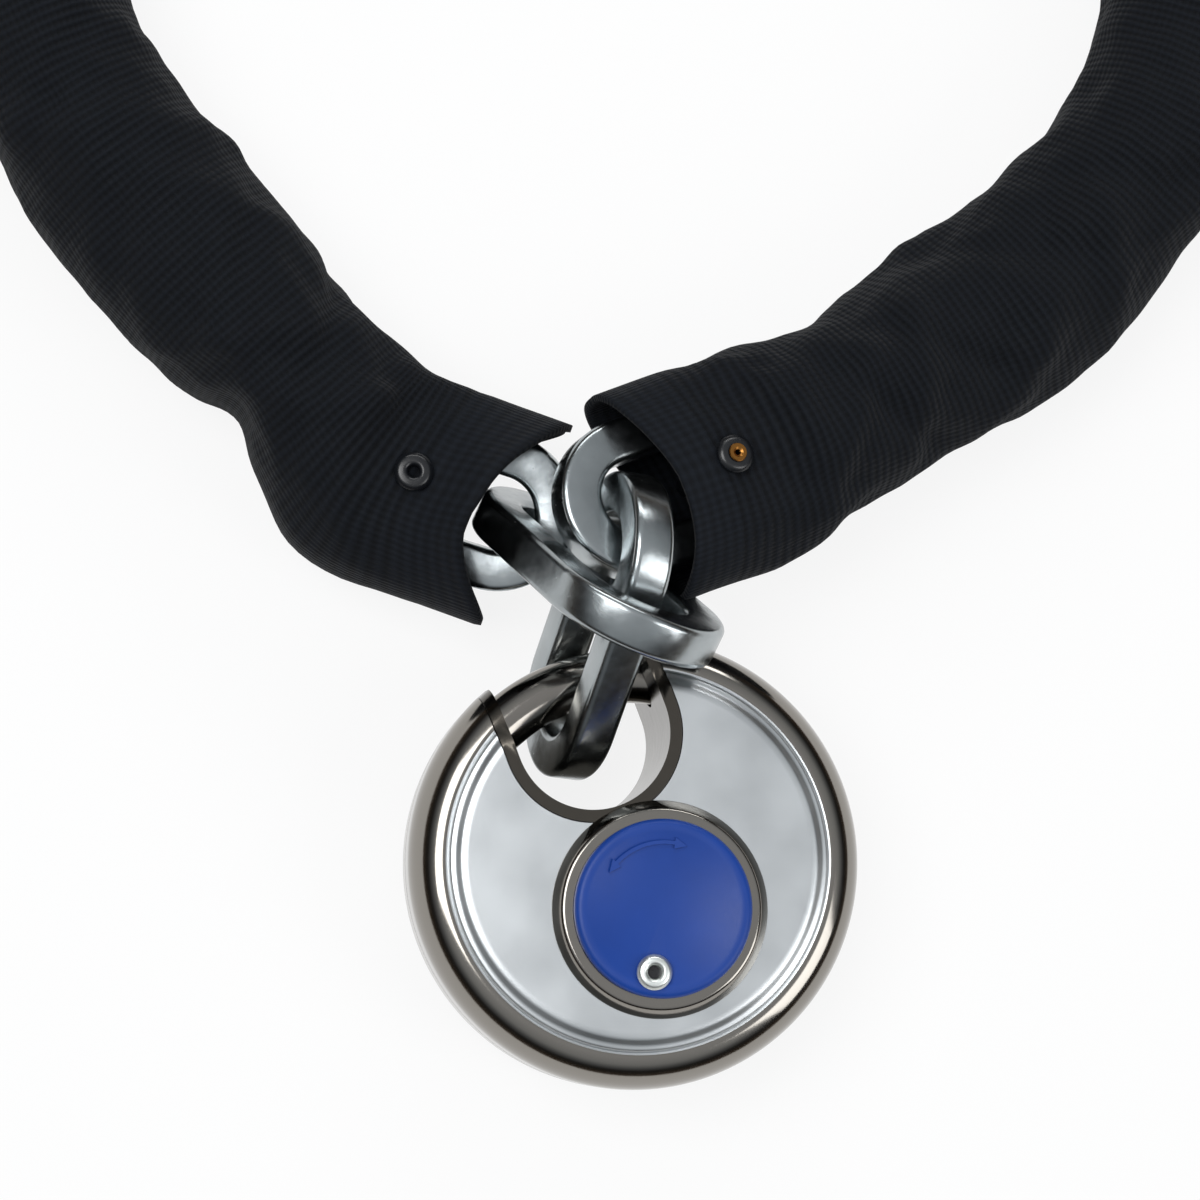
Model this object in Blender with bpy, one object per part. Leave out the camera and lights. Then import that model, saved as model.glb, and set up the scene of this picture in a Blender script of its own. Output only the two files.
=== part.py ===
"""Chain lock: a square-link security chain in a textile sleeve, closed by a round discus padlock.

The whole lock lies flat on z = 0. The origin is the middle of the padlock's back face, +Z points out of
its keyed front face, and the chain leaves the padlock towards +Y.
"""

import math

import bmesh
import bpy
from mathutils import Matrix, Vector

MM = 0.001

# Fits
GAP = 0.3 * MM              # between pieces that touch
WELD = 0.001 * MM           # merge distance
OVERCUT = 2 * MM            # how far a cutter passes through a face

# Padlock body
LOCK_RADIUS = 30 * MM
LOCK_THICKNESS = 24 * MM
LOCK_TURN = math.radians(20)          # padlock turned on the floor, anticlockwise from above
FACE_RADIUS = 23 * MM                 # flat middle of each shell
STEP_RADIUS = 25.4 * MM               # where the face meets the rolled rim
STEP_DROP = 1.3 * MM
RIM_HEIGHT = 4.5 * MM                 # upright part of the rim, from the middle plane
SHELL_WALL = 0.95 * MM

# Throat
THROAT_RADIUS = 10.2 * MM
THROAT_OFFSET = 17.7 * MM             # throat centre from the padlock's centre
LINER_WALL = 1.6 * MM
LINER_INSET = 0.15 * MM               # liner stays this far inside the shell's outer form

# Shackle
SHACKLE_RING = 25.1 * MM              # radius of the arc that its middle line follows
SHACKLE_RADIUS = 3.6 * MM
SHACKLE_NOSE = math.radians(-34)      # clockwise from the throat
SHACKLE_TAIL = math.radians(150)
SHACKLE_PLAY = 0.6 * MM

# Cylinder
CYLINDER_OFFSET = 7 * MM              # plug axis from the padlock's centre, away from the throat
PLUG_RADIUS = 6.5 * MM
PLUG_REAR = 6 * MM
PLUG_NOSE_RADIUS = 5.1 * MM
KEYWAY_WIDTH = 1.9 * MM
KEYWAY_INNER = 3.4 * MM               # keyway reach from the plug axis, each way
KEYWAY_OUTER = 4.2 * MM
HOUSING_RADIUS = 9.4 * MM
TOWER_WIDTH = 7 * MM                  # block on the housing that holds the pin chambers
TOWER_REACH = 13.6 * MM
TOWER_INSET = 0.2 * MM
PIN_COUNT = 4
PIN_PITCH = 3.2 * MM
PIN_FIRST = 9.4 * MM                  # height of the rearmost pin
PIN_RADIUS = 1.2 * MM
KEY_PIN_START = 2.5 * MM              # from the plug axis
DRIVER_LENGTH = 2.7 * MM
SPRING_WIRE = 0.22 * MM
SPRING_TURNS = 3

# Drive between plug and shackle
GEAR_MODULE = 1 * MM
PINION_TEETH = 14
RING_TEETH = 28
GEAR_BOTTOM = 2.4 * MM
SECTOR_THICKNESS = 2.8 * MM
TOOTH_ADDENDUM = 0.8 * MM
TOOTH_DEDENDUM = 1.1 * MM
TOOTH_BACKLASH = 0.34 * MM
SECTOR_START = math.radians(109)      # clockwise from the throat
SECTOR_TEETH = 6
SECTOR_OUTER = 17.6 * MM
ARM_START = math.radians(114)
ARM_END = math.radians(146)
ARM_OUTER = 24.2 * MM
CARRIER_PIN_RADIUS = 1.1 * MM
CARRIER_PIN_RING = 23 * MM
CARRIER_PIN_ANGLES = (math.radians(120), math.radians(140))
TAIL_SIDE = 4.2 * MM

# Guide strips that keep the shackle on its arc
STRIP_INNER = 19.9 * MM
STRIP_OUTER = 21.1 * MM
STRIP_BOTTOM = 6 * MM

# Keyway cover
COLLAR_RADIUS = 13 * MM
COLLAR_BASE = 14.3 * MM
COLLAR_HEIGHT = 1.7 * MM
COLLAR_NECK = 10.3 * MM
COVER_RADIUS = 11.6 * MM
COVER_THICKNESS = 2.2 * MM
COVER_ROUND = 0.9 * MM
RIVET_PLACE = (-4.2 * MM, -7.2 * MM)  # from the plug axis, in the padlock's own frame
RIVET_SHANK = 1.35 * MM
RIVET_BORE = 0.8 * MM
RIVET_HEAD = 2.35 * MM
RIVET_HEAD_HEIGHT = 0.7 * MM

# Chain
BAR = 5.6 * MM                        # square bar, across flats
BAR_CORNER = 1.1 * MM
LINK_GAP = 10 * MM                    # inside width
LINK_LENGTH = 40 * MM
RIGHT_LINK_GAP = 11 * MM            # the end link that the shackle holds
RIGHT_LINK_LENGTH = 44 * MM
LEFT_LINK_GAP = 13.6 * MM               # the end link that the right one passes through
LEFT_LINK_LENGTH = 45 * MM
SLEEVED_LINKS = 21                    # from the first to the last link inside the sleeve

# How the links at the padlock lie: middle in millimetres, then in degrees the compass angle and rise of
# the long axis and the roll of the width about it
RIGHT_END_LINK = {"middle": (-4.57, 31.04, 18.51), "heading": 72.9, "rise": 33.6, "roll": 70.4}
LEFT_END_LINK = {"middle": (-4.93, 37.75, 20.59), "heading": -54.8, "rise": 51.4, "roll": 53.7}
FIRST_LINK = {"middle": (-26.05, 50.30, 11.36), "heading": 162.1, "rise": -3.6, "roll": 12.6}
SECOND_LINK = {"middle": (-45.09, 66.45, 12.89), "heading": 129.9, "rise": 4.5, "roll": 90.0}
LINK_BEFORE_LAST = {"middle": (31.73, 62.18, 15.08), "heading": 209.0, "rise": 11.0, "roll": 90.0}
LAST_LINK = {"middle": (8.14, 50.68, 21.45), "heading": 201.0, "rise": 13.7, "roll": 0.0}

# Middle line of the sleeve: its two ends, chosen by hand, in millimetres from the mouths inwards, and the
# loop between them
LEFT_RUN = ((-23.5, 49.2, 11.8), (-26.4, 50.3, 11.6), (-35.5, 55.0, 11.9), (-45.1, 66.4, 12.9), (-53.9, 76.7, 13.4))
RIGHT_RUN = ((4.9, 49.4, 22.3), (8.3, 50.8, 21.4), (17.6, 54.7, 18.8), (31.7, 62.2, 15.3), (45.3, 71.2, 13.9))
LOOP_CENTRE = (1 * MM, 144.3 * MM)
LOOP_RADIUS = 85.6 * MM
LOOP_START = math.radians(-132)       # clockwise from straight away from the padlock
LOOP_END = math.radians(138)
LOOP_STEPS = 18
LEFT_REACH = 28.9 * MM                  # along the middle line from the left mouth to the second link
RIGHT_REACH = 30.8 * MM                 # and from the right mouth to the link before the last
RIVET_REACH = 6 * MM                  # along the middle line from a mouth to its rivet

# Sleeve
SLEEVE_WALL = 1.0 * MM
SLEEVE_RADIUS = 13.5 * MM
MOUTH_HALF_WIDTH = 14.8 * MM
MOUTH_HALF_HEIGHT = 9.3 * MM
RIVET_HALF_HEIGHT = 9.2 * MM          # where the rivet draws the sleeve in
FLARE_LENGTH = 9 * MM                # from the rivet to the full round section
SLEEVE_RIVET_HEAD = 2.6 * MM
SLEEVE_RIVET_SHANK = 1.5 * MM
SLEEVE_RIVET_BORE = 0.8 * MM
SLEEVE_RIVET_THICKNESS = 1.0 * MM

# Fineness
LATHE_STEPS = 48
SMALL_STEPS = 16
BOW_STEPS = 6
TUBE_SIDES = 12
SLEEVE_STATIONS = 30
ROUTE_SAMPLES = 40

MID = LOCK_THICKNESS / 2
FRONT = LOCK_THICKNESS
HOUSING_FRONT = FRONT - SHELL_WALL - GAP
COLLAR_TOP = FRONT + GAP + COLLAR_HEIGHT
COVER_BOTTOM = COLLAR_TOP + GAP
COVER_TOP = COVER_BOTTOM + COVER_THICKNESS


# Scene and materials

def clear_scene():
    for item in list(bpy.data.objects):
        bpy.data.objects.remove(item, do_unlink=True)


def make_material(name, colour, roughness, metallic):
    material = bpy.data.materials.new(name)
    material.use_nodes = True
    shader = material.node_tree.nodes["Principled BSDF"]
    shader.inputs["Base Color"].default_value = (*colour, 1)
    shader.inputs["Roughness"].default_value = roughness
    shader.inputs["Metallic"].default_value = metallic
    return material


def make_materials():
    return {
        "stainless": make_material("stainless steel", (0.62, 0.63, 0.64), 0.28, 1.0),
        "zinc": make_material("zinc-plated steel", (0.36, 0.38, 0.38), 0.3, 1.0),
        "brass": make_material("brass", (0.62, 0.44, 0.16), 0.35, 1.0),
        "steel": make_material("bare steel", (0.4, 0.4, 0.4), 0.4, 1.0),
        "blue_plastic": make_material("blue plastic", (0.01, 0.05, 0.28), 0.4, 0.0),
        "black_plastic": make_material("black plastic", (0.01, 0.01, 0.012), 0.45, 0.0),
        "textile": make_material("woven textile", (0.004, 0.005, 0.008), 0.9, 0.0),
    }


# Mesh helpers

def add_object(name, bm, material, parent=None):
    bmesh.ops.remove_doubles(bm, verts=bm.verts, dist=WELD)
    bmesh.ops.recalc_face_normals(bm, faces=bm.faces)
    mesh = bpy.data.meshes.new(name)
    bm.to_mesh(mesh)
    bm.free()
    mesh.shade_smooth()
    mesh.set_sharp_from_angle(angle=math.radians(35))
    mesh.materials.append(material)
    item = bpy.data.objects.new(name, mesh)
    bpy.context.collection.objects.link(item)
    item.parent = parent
    return item


def add_cutter(name, bm, parent=None):
    item = add_object(name, bm, bpy.data.materials[0], parent)
    item.hide_render = True
    item.display_type = "WIRE"
    return item


def combine(item, tool, operation="DIFFERENCE"):
    modifier = item.modifiers.new(operation.title(), "BOOLEAN")
    modifier.operation = operation
    modifier.solver = "EXACT"
    modifier.object = tool


def lathe(outline, steps=LATHE_STEPS, centre=(0, 0)):
    """Turn (radius, height) points about an upright axis; an outline off the axis closes on itself."""
    bm = bmesh.new()
    points = [bm.verts.new((radius, 0, height)) for radius, height in outline]
    pairs = list(zip(points, points[1:]))
    if min(radius for radius, height in outline) > 0:
        pairs.append((points[-1], points[0]))
    edges = [bm.edges.new(pair) for pair in pairs]
    bmesh.ops.spin(bm, geom=points + edges, cent=(0, 0, 0), axis=(0, 0, 1), angle=math.tau,
                   steps=steps, use_merge=True)
    bmesh.ops.remove_doubles(bm, verts=bm.verts, dist=WELD)
    bmesh.ops.translate(bm, verts=bm.verts, vec=(*centre, 0))
    return bm


def disc(radius, bottom, top, steps=SMALL_STEPS, centre=(0, 0)):
    return lathe([(0, bottom), (radius, bottom), (radius, top), (0, top)], steps, centre)


def prism(outline, bottom, top):
    bm = bmesh.new()
    face = bm.faces.new([bm.verts.new((x, y, bottom)) for x, y in outline])
    pulled = bmesh.ops.extrude_face_region(bm, geom=[face])
    raised = [part for part in pulled["geom"] if isinstance(part, bmesh.types.BMVert)]
    bmesh.ops.translate(bm, verts=raised, vec=(0, 0, top - bottom))
    return bm


def radial_rod(radius, start, end, height, steps=12):
    """A rod that lies along -Y from the plug axis, between two distances from it."""
    bm = disc(radius, start, end, steps)
    turn = Matrix.Rotation(math.radians(90), 4, "X")
    bmesh.ops.transform(bm, matrix=Matrix.Translation((0, -CYLINDER_OFFSET, height)) @ turn, verts=bm.verts)
    return bm


def arc_points(radius, start, end, steps, centre=(0, 0)):
    """Points on an arc, with angles measured clockwise from +Y."""
    angles = [start + (end - start) * step / steps for step in range(steps + 1)]
    return [(centre[0] + radius * math.sin(a), centre[1] + radius * math.cos(a)) for a in angles]


def band(inner, outer, start, end, bottom, top, steps):
    outline = arc_points(outer, start, end, steps) + arc_points(inner, end, start, steps)
    return prism(outline, bottom, top)


# Padlock shells

def rim_points(shrink=0.0):
    """Half outline of the padlock from its middle plane to its axis, moved inwards by shrink."""
    top = MID - shrink
    rim = LOCK_RADIUS - shrink
    shoulder = MID - STEP_DROP - shrink * 0.7
    step = STEP_RADIUS - shrink * 0.6
    steps = 6
    points = []
    for index in range(steps + 1):
        turn = math.radians(90) * index / steps
        radius = step + (rim - step) * math.cos(turn)
        height = RIM_HEIGHT + (shoulder - RIM_HEIGHT) * math.sin(turn)
        points.append((radius, height))
    points += [(step - 0.3 * MM, top - 0.75 * MM), (FACE_RADIUS - shrink * 0.4, top), (0, top)]
    return points


def padlock_outline(shrink=0.0):
    half = rim_points(shrink)
    lower = [(radius, MID - height) for radius, height in reversed(half)]
    return lower + [(radius, MID + height) for radius, height in half]


def throat_outline(radius, top):
    """A U: half a circle about the throat's centre, with straight walls up to a height."""
    bottom = arc_points(radius, math.radians(90), math.radians(270), 16, (0, THROAT_OFFSET))
    return [(radius, top)] + bottom + [(-radius, top)]


def make_shell(name, side, material, frame):
    outer = rim_points()[::-1] + [(LOCK_RADIUS, GAP / 2)]
    inner = [(LOCK_RADIUS - SHELL_WALL, GAP / 2)] + rim_points(SHELL_WALL)
    outline = [(radius, MID + side * height) for radius, height in outer + inner]
    shell = add_object(name, lathe(outline), material, frame)
    cut_radius = THROAT_RADIUS + LINER_WALL + GAP
    throat = prism(throat_outline(cut_radius, LOCK_RADIUS + OVERCUT), -OVERCUT, FRONT + OVERCUT)
    combine(shell, add_cutter(name + "_throat_cut", throat, frame))
    return shell


def make_front_shell(material, frame):
    shell = make_shell("lock_front_shell", 1, material, frame)
    hole = disc(COLLAR_NECK + GAP, MID, FRONT + OVERCUT, 36, (0, -CYLINDER_OFFSET))
    combine(shell, add_cutter("collar_hole", hole, frame))


def make_throat_liner(material, frame):
    top = LOCK_RADIUS + OVERCUT
    outer = throat_outline(THROAT_RADIUS + LINER_WALL, top)
    inner = throat_outline(THROAT_RADIUS, top)
    liner = add_object("throat_liner", prism(outer + inner[::-1], 0, FRONT), material, frame)
    combine(liner, add_cutter("liner_trim", lathe(padlock_outline(LINER_INSET)), frame), "INTERSECT")
    reach = SHACKLE_RADIUS + SHACKLE_PLAY
    circle = [(SHACKLE_RING + reach * math.cos(a), MID + reach * math.sin(a))
              for a in [math.tau * step / 16 for step in range(16)]]
    combine(liner, add_cutter("shackle_channel", lathe(circle, 96), frame))


# Shackle and its drive

def make_shackle(material, frame):
    bm = bmesh.new()
    rod = bmesh.ops.create_circle(bm, cap_ends=True, segments=12, radius=SHACKLE_RADIUS)["verts"]
    upright = Matrix.Rotation(math.radians(90), 4, "X")
    bmesh.ops.transform(bm, matrix=Matrix.Translation((SHACKLE_RING, 0, MID)) @ upright, verts=rod)
    quarter = math.radians(90)
    bmesh.ops.rotate(bm, matrix=Matrix.Rotation(quarter - SHACKLE_NOSE, 3, "Z"), verts=rod)
    bmesh.ops.spin(bm, geom=bm.verts[:] + bm.edges[:] + bm.faces[:], cent=(0, 0, 0), axis=(0, 0, -1),
                   angle=SHACKLE_TAIL - SHACKLE_NOSE, steps=32)
    shackle = add_object("lock_shackle", bm, material, frame)
    for number, angle in enumerate(CARRIER_PIN_ANGLES):
        place = arc_points(CARRIER_PIN_RING, angle, angle, 1)[0]
        hole = disc(CARRIER_PIN_RADIUS + GAP, GEAR_BOTTOM, MID + GAP, 12, place)
        combine(shackle, add_cutter(f"carrier_hole_{number}", hole, frame))


def tooth_half_angles(pitch_radius, outward):
    """Half angles of a tooth at its tip, pitch line and root."""
    thick = (math.pi * GEAR_MODULE - TOOTH_BACKLASH * 2) / 2
    slope = math.tan(math.radians(20))
    tip = thick / 2 - slope * TOOTH_ADDENDUM
    root = thick / 2 + slope * TOOTH_DEDENDUM
    sign = 1 if outward else -1
    tip_radius = pitch_radius + sign * TOOTH_ADDENDUM
    root_radius = pitch_radius - sign * TOOTH_DEDENDUM
    return (tip_radius, tip / tip_radius), (root_radius, root / root_radius)


def make_sector(material, frame):
    """The plate under the shackle: inside teeth for the pinion, and an arm out to the shackle."""
    pitch = RING_TEETH * GEAR_MODULE / 2
    step = math.tau / RING_TEETH
    (tip_radius, tip), (root_radius, root) = tooth_half_angles(pitch, outward=False)
    inner = []
    first = math.radians(180) + step / 2
    for tooth in range(SECTOR_TEETH):
        middle = first - tooth * step
        inner += [arc_points(radius, angle, angle, 1)[0] for radius, angle in (
            (root_radius, middle + root), (tip_radius, middle + tip),
            (tip_radius, middle - tip), (root_radius, middle - root))]
    end = first + step / 2
    outline = arc_points(SECTOR_OUTER, SECTOR_START, ARM_START, 2)
    outline += arc_points(ARM_OUTER, ARM_START, ARM_END, 8)
    outline += arc_points(SECTOR_OUTER, ARM_END, end, 8)
    outline += arc_points(root_radius, end, end, 1)[:1] + inner
    outline += arc_points(root_radius, SECTOR_START, SECTOR_START, 1)[:1]
    plate = add_object("shackle_gear_sector", prism(outline, GEAR_BOTTOM, GEAR_BOTTOM + SECTOR_THICKNESS),
                       material, frame)
    for number, angle in enumerate(CARRIER_PIN_ANGLES):
        place = arc_points(CARRIER_PIN_RING, angle, angle, 1)[0]
        hole = disc(CARRIER_PIN_RADIUS + GAP, 0, MID / 2, 12, place)
        combine(plate, add_cutter(f"sector_hole_{number}", hole, frame))


def make_carrier_pins(material, frame):
    for number, angle in enumerate(CARRIER_PIN_ANGLES):
        place = arc_points(CARRIER_PIN_RING, angle, angle, 1)[0]
        pin = disc(CARRIER_PIN_RADIUS, GEAR_BOTTOM, MID, 12, place)
        add_object(f"shackle_carrier_pin_{number + 1}", pin, material, frame)


def make_pinion(material, frame):
    pitch = PINION_TEETH * GEAR_MODULE / 2
    (tip_radius, tip), (root_radius, root) = tooth_half_angles(pitch, outward=True)
    outline = []
    for tooth in range(PINION_TEETH):
        middle = math.radians(180) + math.tau * tooth / PINION_TEETH
        outline += [arc_points(radius, angle, angle, 1)[0] for radius, angle in (
            (root_radius, middle - root), (tip_radius, middle - tip),
            (tip_radius, middle + tip), (root_radius, middle + root))]
    bm = prism(outline, GEAR_BOTTOM, PLUG_REAR - GAP)
    bmesh.ops.translate(bm, verts=bm.verts, vec=(0, -CYLINDER_OFFSET, 0))
    pinion = add_object("drive_pinion", bm, material, frame)
    combine(pinion, add_cutter("pinion_bore", square_bar(TAIL_SIDE + 2 * GAP, 0, MID), frame))


def square_bar(side, bottom, top):
    half = side / 2
    corners = [(half, half), (-half, half), (-half, -half), (half, -half)]
    return prism([(x, y - CYLINDER_OFFSET) for x, y in corners], bottom, top)


# Cylinder

def pin_heights():
    return [PIN_FIRST + PIN_PITCH * number for number in range(PIN_COUNT)]


def make_housing(material, frame):
    bore = PLUG_RADIUS + GAP
    outline = [(bore, PLUG_REAR), (HOUSING_RADIUS, PLUG_REAR), (HOUSING_RADIUS, HOUSING_FRONT), (bore, HOUSING_FRONT)]
    housing = add_object("cylinder_housing", lathe(outline, 40, (0, -CYLINDER_OFFSET)), material, frame)
    half = TOWER_WIDTH / 2
    low = -CYLINDER_OFFSET - TOWER_REACH
    high = -CYLINDER_OFFSET - (bore + HOUSING_RADIUS) / 2
    tower = prism([(half, high), (-half, high), (-half, low), (half, low)],
                  PLUG_REAR + TOWER_INSET, HOUSING_FRONT - TOWER_INSET)
    combine(housing, add_cutter("tower", tower, frame), "UNION")
    for number, height in enumerate(pin_heights()):
        chamber = radial_rod(PIN_RADIUS + GAP, KEY_PIN_START, TOWER_REACH - 2 * GAP, height)
        combine(housing, add_cutter(f"chamber_{number}", chamber, frame))


def make_plug(material, frame):
    centre = (0, -CYLINDER_OFFSET)
    nose_top = COLLAR_TOP - GAP
    outline = [(0, PLUG_REAR), (PLUG_RADIUS, PLUG_REAR), (PLUG_RADIUS, HOUSING_FRONT),
               (PLUG_NOSE_RADIUS, HOUSING_FRONT), (PLUG_NOSE_RADIUS, nose_top), (0, nose_top)]
    plug = add_object("cylinder_plug", lathe(outline, 40, centre), material, frame)
    tail = square_bar(TAIL_SIDE, GEAR_BOTTOM, PLUG_REAR + OVERCUT)
    combine(plug, add_cutter("plug_tail", tail, frame), "UNION")
    half = KEYWAY_WIDTH / 2
    keyway = prism([(half, KEYWAY_INNER - CYLINDER_OFFSET), (-half, KEYWAY_INNER - CYLINDER_OFFSET),
                    (-half, -KEYWAY_OUTER - CYLINDER_OFFSET), (half, -KEYWAY_OUTER - CYLINDER_OFFSET)],
                   PIN_FIRST - PIN_PITCH / 2, FRONT + 2 * OVERCUT)
    combine(plug, add_cutter("keyway", keyway, frame))
    for number, height in enumerate(pin_heights()):
        hole = radial_rod(PIN_RADIUS + GAP, KEY_PIN_START - GAP, PLUG_RADIUS + OVERCUT, height)
        combine(plug, add_cutter(f"key_pin_hole_{number}", hole, frame))
    screw_hole = disc(1.0 * MM + GAP, 0, PLUG_REAR, 12, centre)
    combine(plug, add_cutter("pinion_screw_hole", screw_hole, frame))


def make_pinion_screw(material, frame):
    bottom = SHELL_WALL + GAP
    outline = [(0, bottom), (3.9 * MM, bottom), (3.9 * MM, GEAR_BOTTOM - GAP), (1.0 * MM, GEAR_BOTTOM - GAP),
               (1.0 * MM, PLUG_REAR - GAP), (0, PLUG_REAR - GAP)]
    add_object("pinion_screw", lathe(outline, 24, (0, -CYLINDER_OFFSET)), material, frame)


def make_spring(start, end, height):
    """A round-wire coil spring that lies along -Y from the plug axis."""
    coil = PIN_RADIUS - SPRING_WIRE
    stations = SPRING_TURNS * 8
    bm = bmesh.new()
    rings = []
    for station in range(stations + 1):
        turn = math.tau * SPRING_TURNS * station / stations
        out = start + SPRING_WIRE + (end - start - 2 * SPRING_WIRE) * station / stations
        radial = Vector((math.cos(turn), 0, math.sin(turn)))
        middle = radial * coil + Vector((0, -CYLINDER_OFFSET - out, height))
        corners = [math.tau * corner / 5 for corner in range(5)]
        rings.append([bm.verts.new(middle + (radial * math.cos(c) + Vector((0, 1, 0)) * math.sin(c))
                                   * SPRING_WIRE) for c in corners])
    for ring, following in zip(rings, rings[1:]):
        for corner in range(5):
            after = (corner + 1) % 5
            bm.faces.new((ring[corner], ring[after], following[after], following[corner]))
    bm.faces.new(rings[0])
    bm.faces.new(rings[-1])
    return bm


def make_pins(materials, frame):
    shear = PLUG_RADIUS + 2 * GAP
    for number, height in enumerate(pin_heights(), 1):
        key_pin = radial_rod(PIN_RADIUS, KEY_PIN_START, PLUG_RADIUS - GAP, height)
        add_object(f"key_pin_{number}", key_pin, materials["brass"], frame)
        driver = radial_rod(PIN_RADIUS, shear, shear + DRIVER_LENGTH, height)
        add_object(f"driver_pin_{number}", driver, materials["brass"], frame)
        spring = make_spring(shear + DRIVER_LENGTH + GAP, TOWER_REACH - 3 * GAP, height)
        add_object(f"pin_spring_{number}", spring, materials["steel"], frame)


# Guide strips, collar and keyway cover

def make_guide_strips(material, frame):
    sides = (("guide_strip_right", math.radians(42), math.radians(165)),
             ("guide_strip_left", math.radians(195), math.radians(318)))
    for name, start, end in sides:
        strip = band(STRIP_INNER, STRIP_OUTER, start, end, STRIP_BOTTOM, HOUSING_FRONT, 16)
        add_object(name, strip, material, frame)


def rivet_centre():
    return RIVET_PLACE[0], RIVET_PLACE[1] - CYLINDER_OFFSET


def make_collar(material, frame):
    centre = (0, -CYLINDER_OFFSET)
    bottom = HOUSING_FRONT + GAP
    seat = FRONT + GAP
    window = PLUG_NOSE_RADIUS + GAP
    outline = [(window, bottom), (COLLAR_NECK, bottom), (COLLAR_NECK, seat), (COLLAR_BASE, seat),
               (COLLAR_BASE, seat + 0.3 * MM), (COLLAR_RADIUS + 0.2 * MM, COLLAR_TOP - 0.3 * MM),
               (COLLAR_RADIUS - 0.2 * MM, COLLAR_TOP), (window, COLLAR_TOP)]
    collar = add_object("cylinder_collar", lathe(outline, 36, centre), material, frame)
    hole = disc(RIVET_SHANK + GAP, MID, FRONT + 2 * OVERCUT, SMALL_STEPS, rivet_centre())
    combine(collar, add_cutter("collar_rivet_hole", hole, frame))


def make_cover(material, frame):
    centre = (0, -CYLINDER_OFFSET)
    rounding = [(COVER_RADIUS - COVER_ROUND * (1 - math.sin(a)), COVER_TOP - COVER_ROUND * (1 - math.cos(a)))
                for a in [math.radians(90) * (1 - step / 4) for step in range(5)]]
    outline = [(0, COVER_BOTTOM), (COVER_RADIUS - 0.3 * MM, COVER_BOTTOM), (COVER_RADIUS, COVER_BOTTOM + 0.3 * MM)]
    cover = add_object("keyway_cover", lathe(outline + rounding + [(0, COVER_TOP)], 36, centre), material, frame)
    hole = disc(RIVET_SHANK + GAP, MID, FRONT + 4 * OVERCUT, SMALL_STEPS, rivet_centre())
    combine(cover, add_cutter("cover_rivet_hole", hole, frame))


def make_cover_rivet(material, frame):
    bottom = HOUSING_FRONT + 2 * GAP
    head = COVER_TOP + GAP
    top = head + RIVET_HEAD_HEIGHT
    outline = [(RIVET_BORE, bottom), (RIVET_SHANK, bottom), (RIVET_SHANK, head), (RIVET_HEAD, head),
               (RIVET_HEAD, head + 0.25 * MM), (RIVET_HEAD - 0.45 * MM, top), (RIVET_BORE, top)]
    add_object("cover_rivet", lathe(outline, 24, rivet_centre()), material, frame)


# Chain

def link_frame(middle, along, across):
    """A link's own axes in the world: X along it, Y across it, Z through its opening."""
    along = along.normalized()
    across = (across - along * across.dot(along)).normalized()
    through = along.cross(across)
    turn = Matrix((along, across, through)).transposed()
    return Matrix.Translation(middle) @ turn.to_4x4()


def laid_frame(link):
    heading, rise, roll = (math.radians(link[key]) for key in ("heading", "rise", "roll"))
    along = Vector((math.cos(rise) * math.cos(heading), math.cos(rise) * math.sin(heading), math.sin(rise)))
    side = Vector((math.sin(heading), -math.cos(heading), 0))
    across = side * math.cos(roll) + side.cross(along) * math.sin(roll)
    return link_frame(Vector(link["middle"]) * MM, along, across)


def link_mesh(length, gap):
    """A square bar with softened corners, bent to a long ring."""
    bm = bmesh.new()
    radius = (gap + BAR) / 2
    place = length / 2 - gap / 2 - BAR
    half = BAR / 2
    cut = half - BAR_CORNER * 0.6
    section = [(cut, -half), (half, -cut), (half, cut), (cut, half), (-cut, half), (-half, cut),
               (-half, -cut), (-cut, -half)]
    ring = [bm.verts.new((place, -radius - y, z)) for y, z in section]
    edges = [bm.edges.new(pair) for pair in zip(ring, ring[1:] + ring[:1])]
    live = ring + edges
    for side in (1, -1):
        live = bmesh.ops.spin(bm, geom=live, cent=(side * place, 0, 0), axis=(0, 0, 1), angle=math.pi,
                              steps=BOW_STEPS)["geom_last"]
        edges = [part for part in live if isinstance(part, bmesh.types.BMEdge)]
        live = bmesh.ops.extrude_edge_only(bm, edges=edges)["geom"]
        moved = [part for part in live if isinstance(part, bmesh.types.BMVert)]
        bmesh.ops.translate(bm, verts=moved, vec=(-side * 2 * place, 0, 0))
        live = [part for part in live if not isinstance(part, bmesh.types.BMFace)]
    bmesh.ops.remove_doubles(bm, verts=bm.verts, dist=WELD)
    return bm


def make_link(name, place, material, length=LINK_LENGTH, gap=LINK_GAP):
    bm = link_mesh(length, gap)
    bmesh.ops.transform(bm, matrix=place, verts=bm.verts)
    add_object(name, bm, material)


def smooth_route(points):
    """A Catmull-Rom curve through the points, as many close samples."""
    ends = [points[0] * 2 - points[1]] + points + [points[-1] * 2 - points[-2]]
    samples = []
    for before, start, end, after in zip(ends, ends[1:], ends[2:], ends[3:]):
        for step in range(ROUTE_SAMPLES):
            t = step / ROUTE_SAMPLES
            samples.append(0.5 * (2 * start + (end - before) * t
                                  + (2 * before - 5 * start + 4 * end - after) * t ** 2
                                  + (3 * start - before - 3 * end + after) * t ** 3))
    return samples + [points[-1]]


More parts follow.
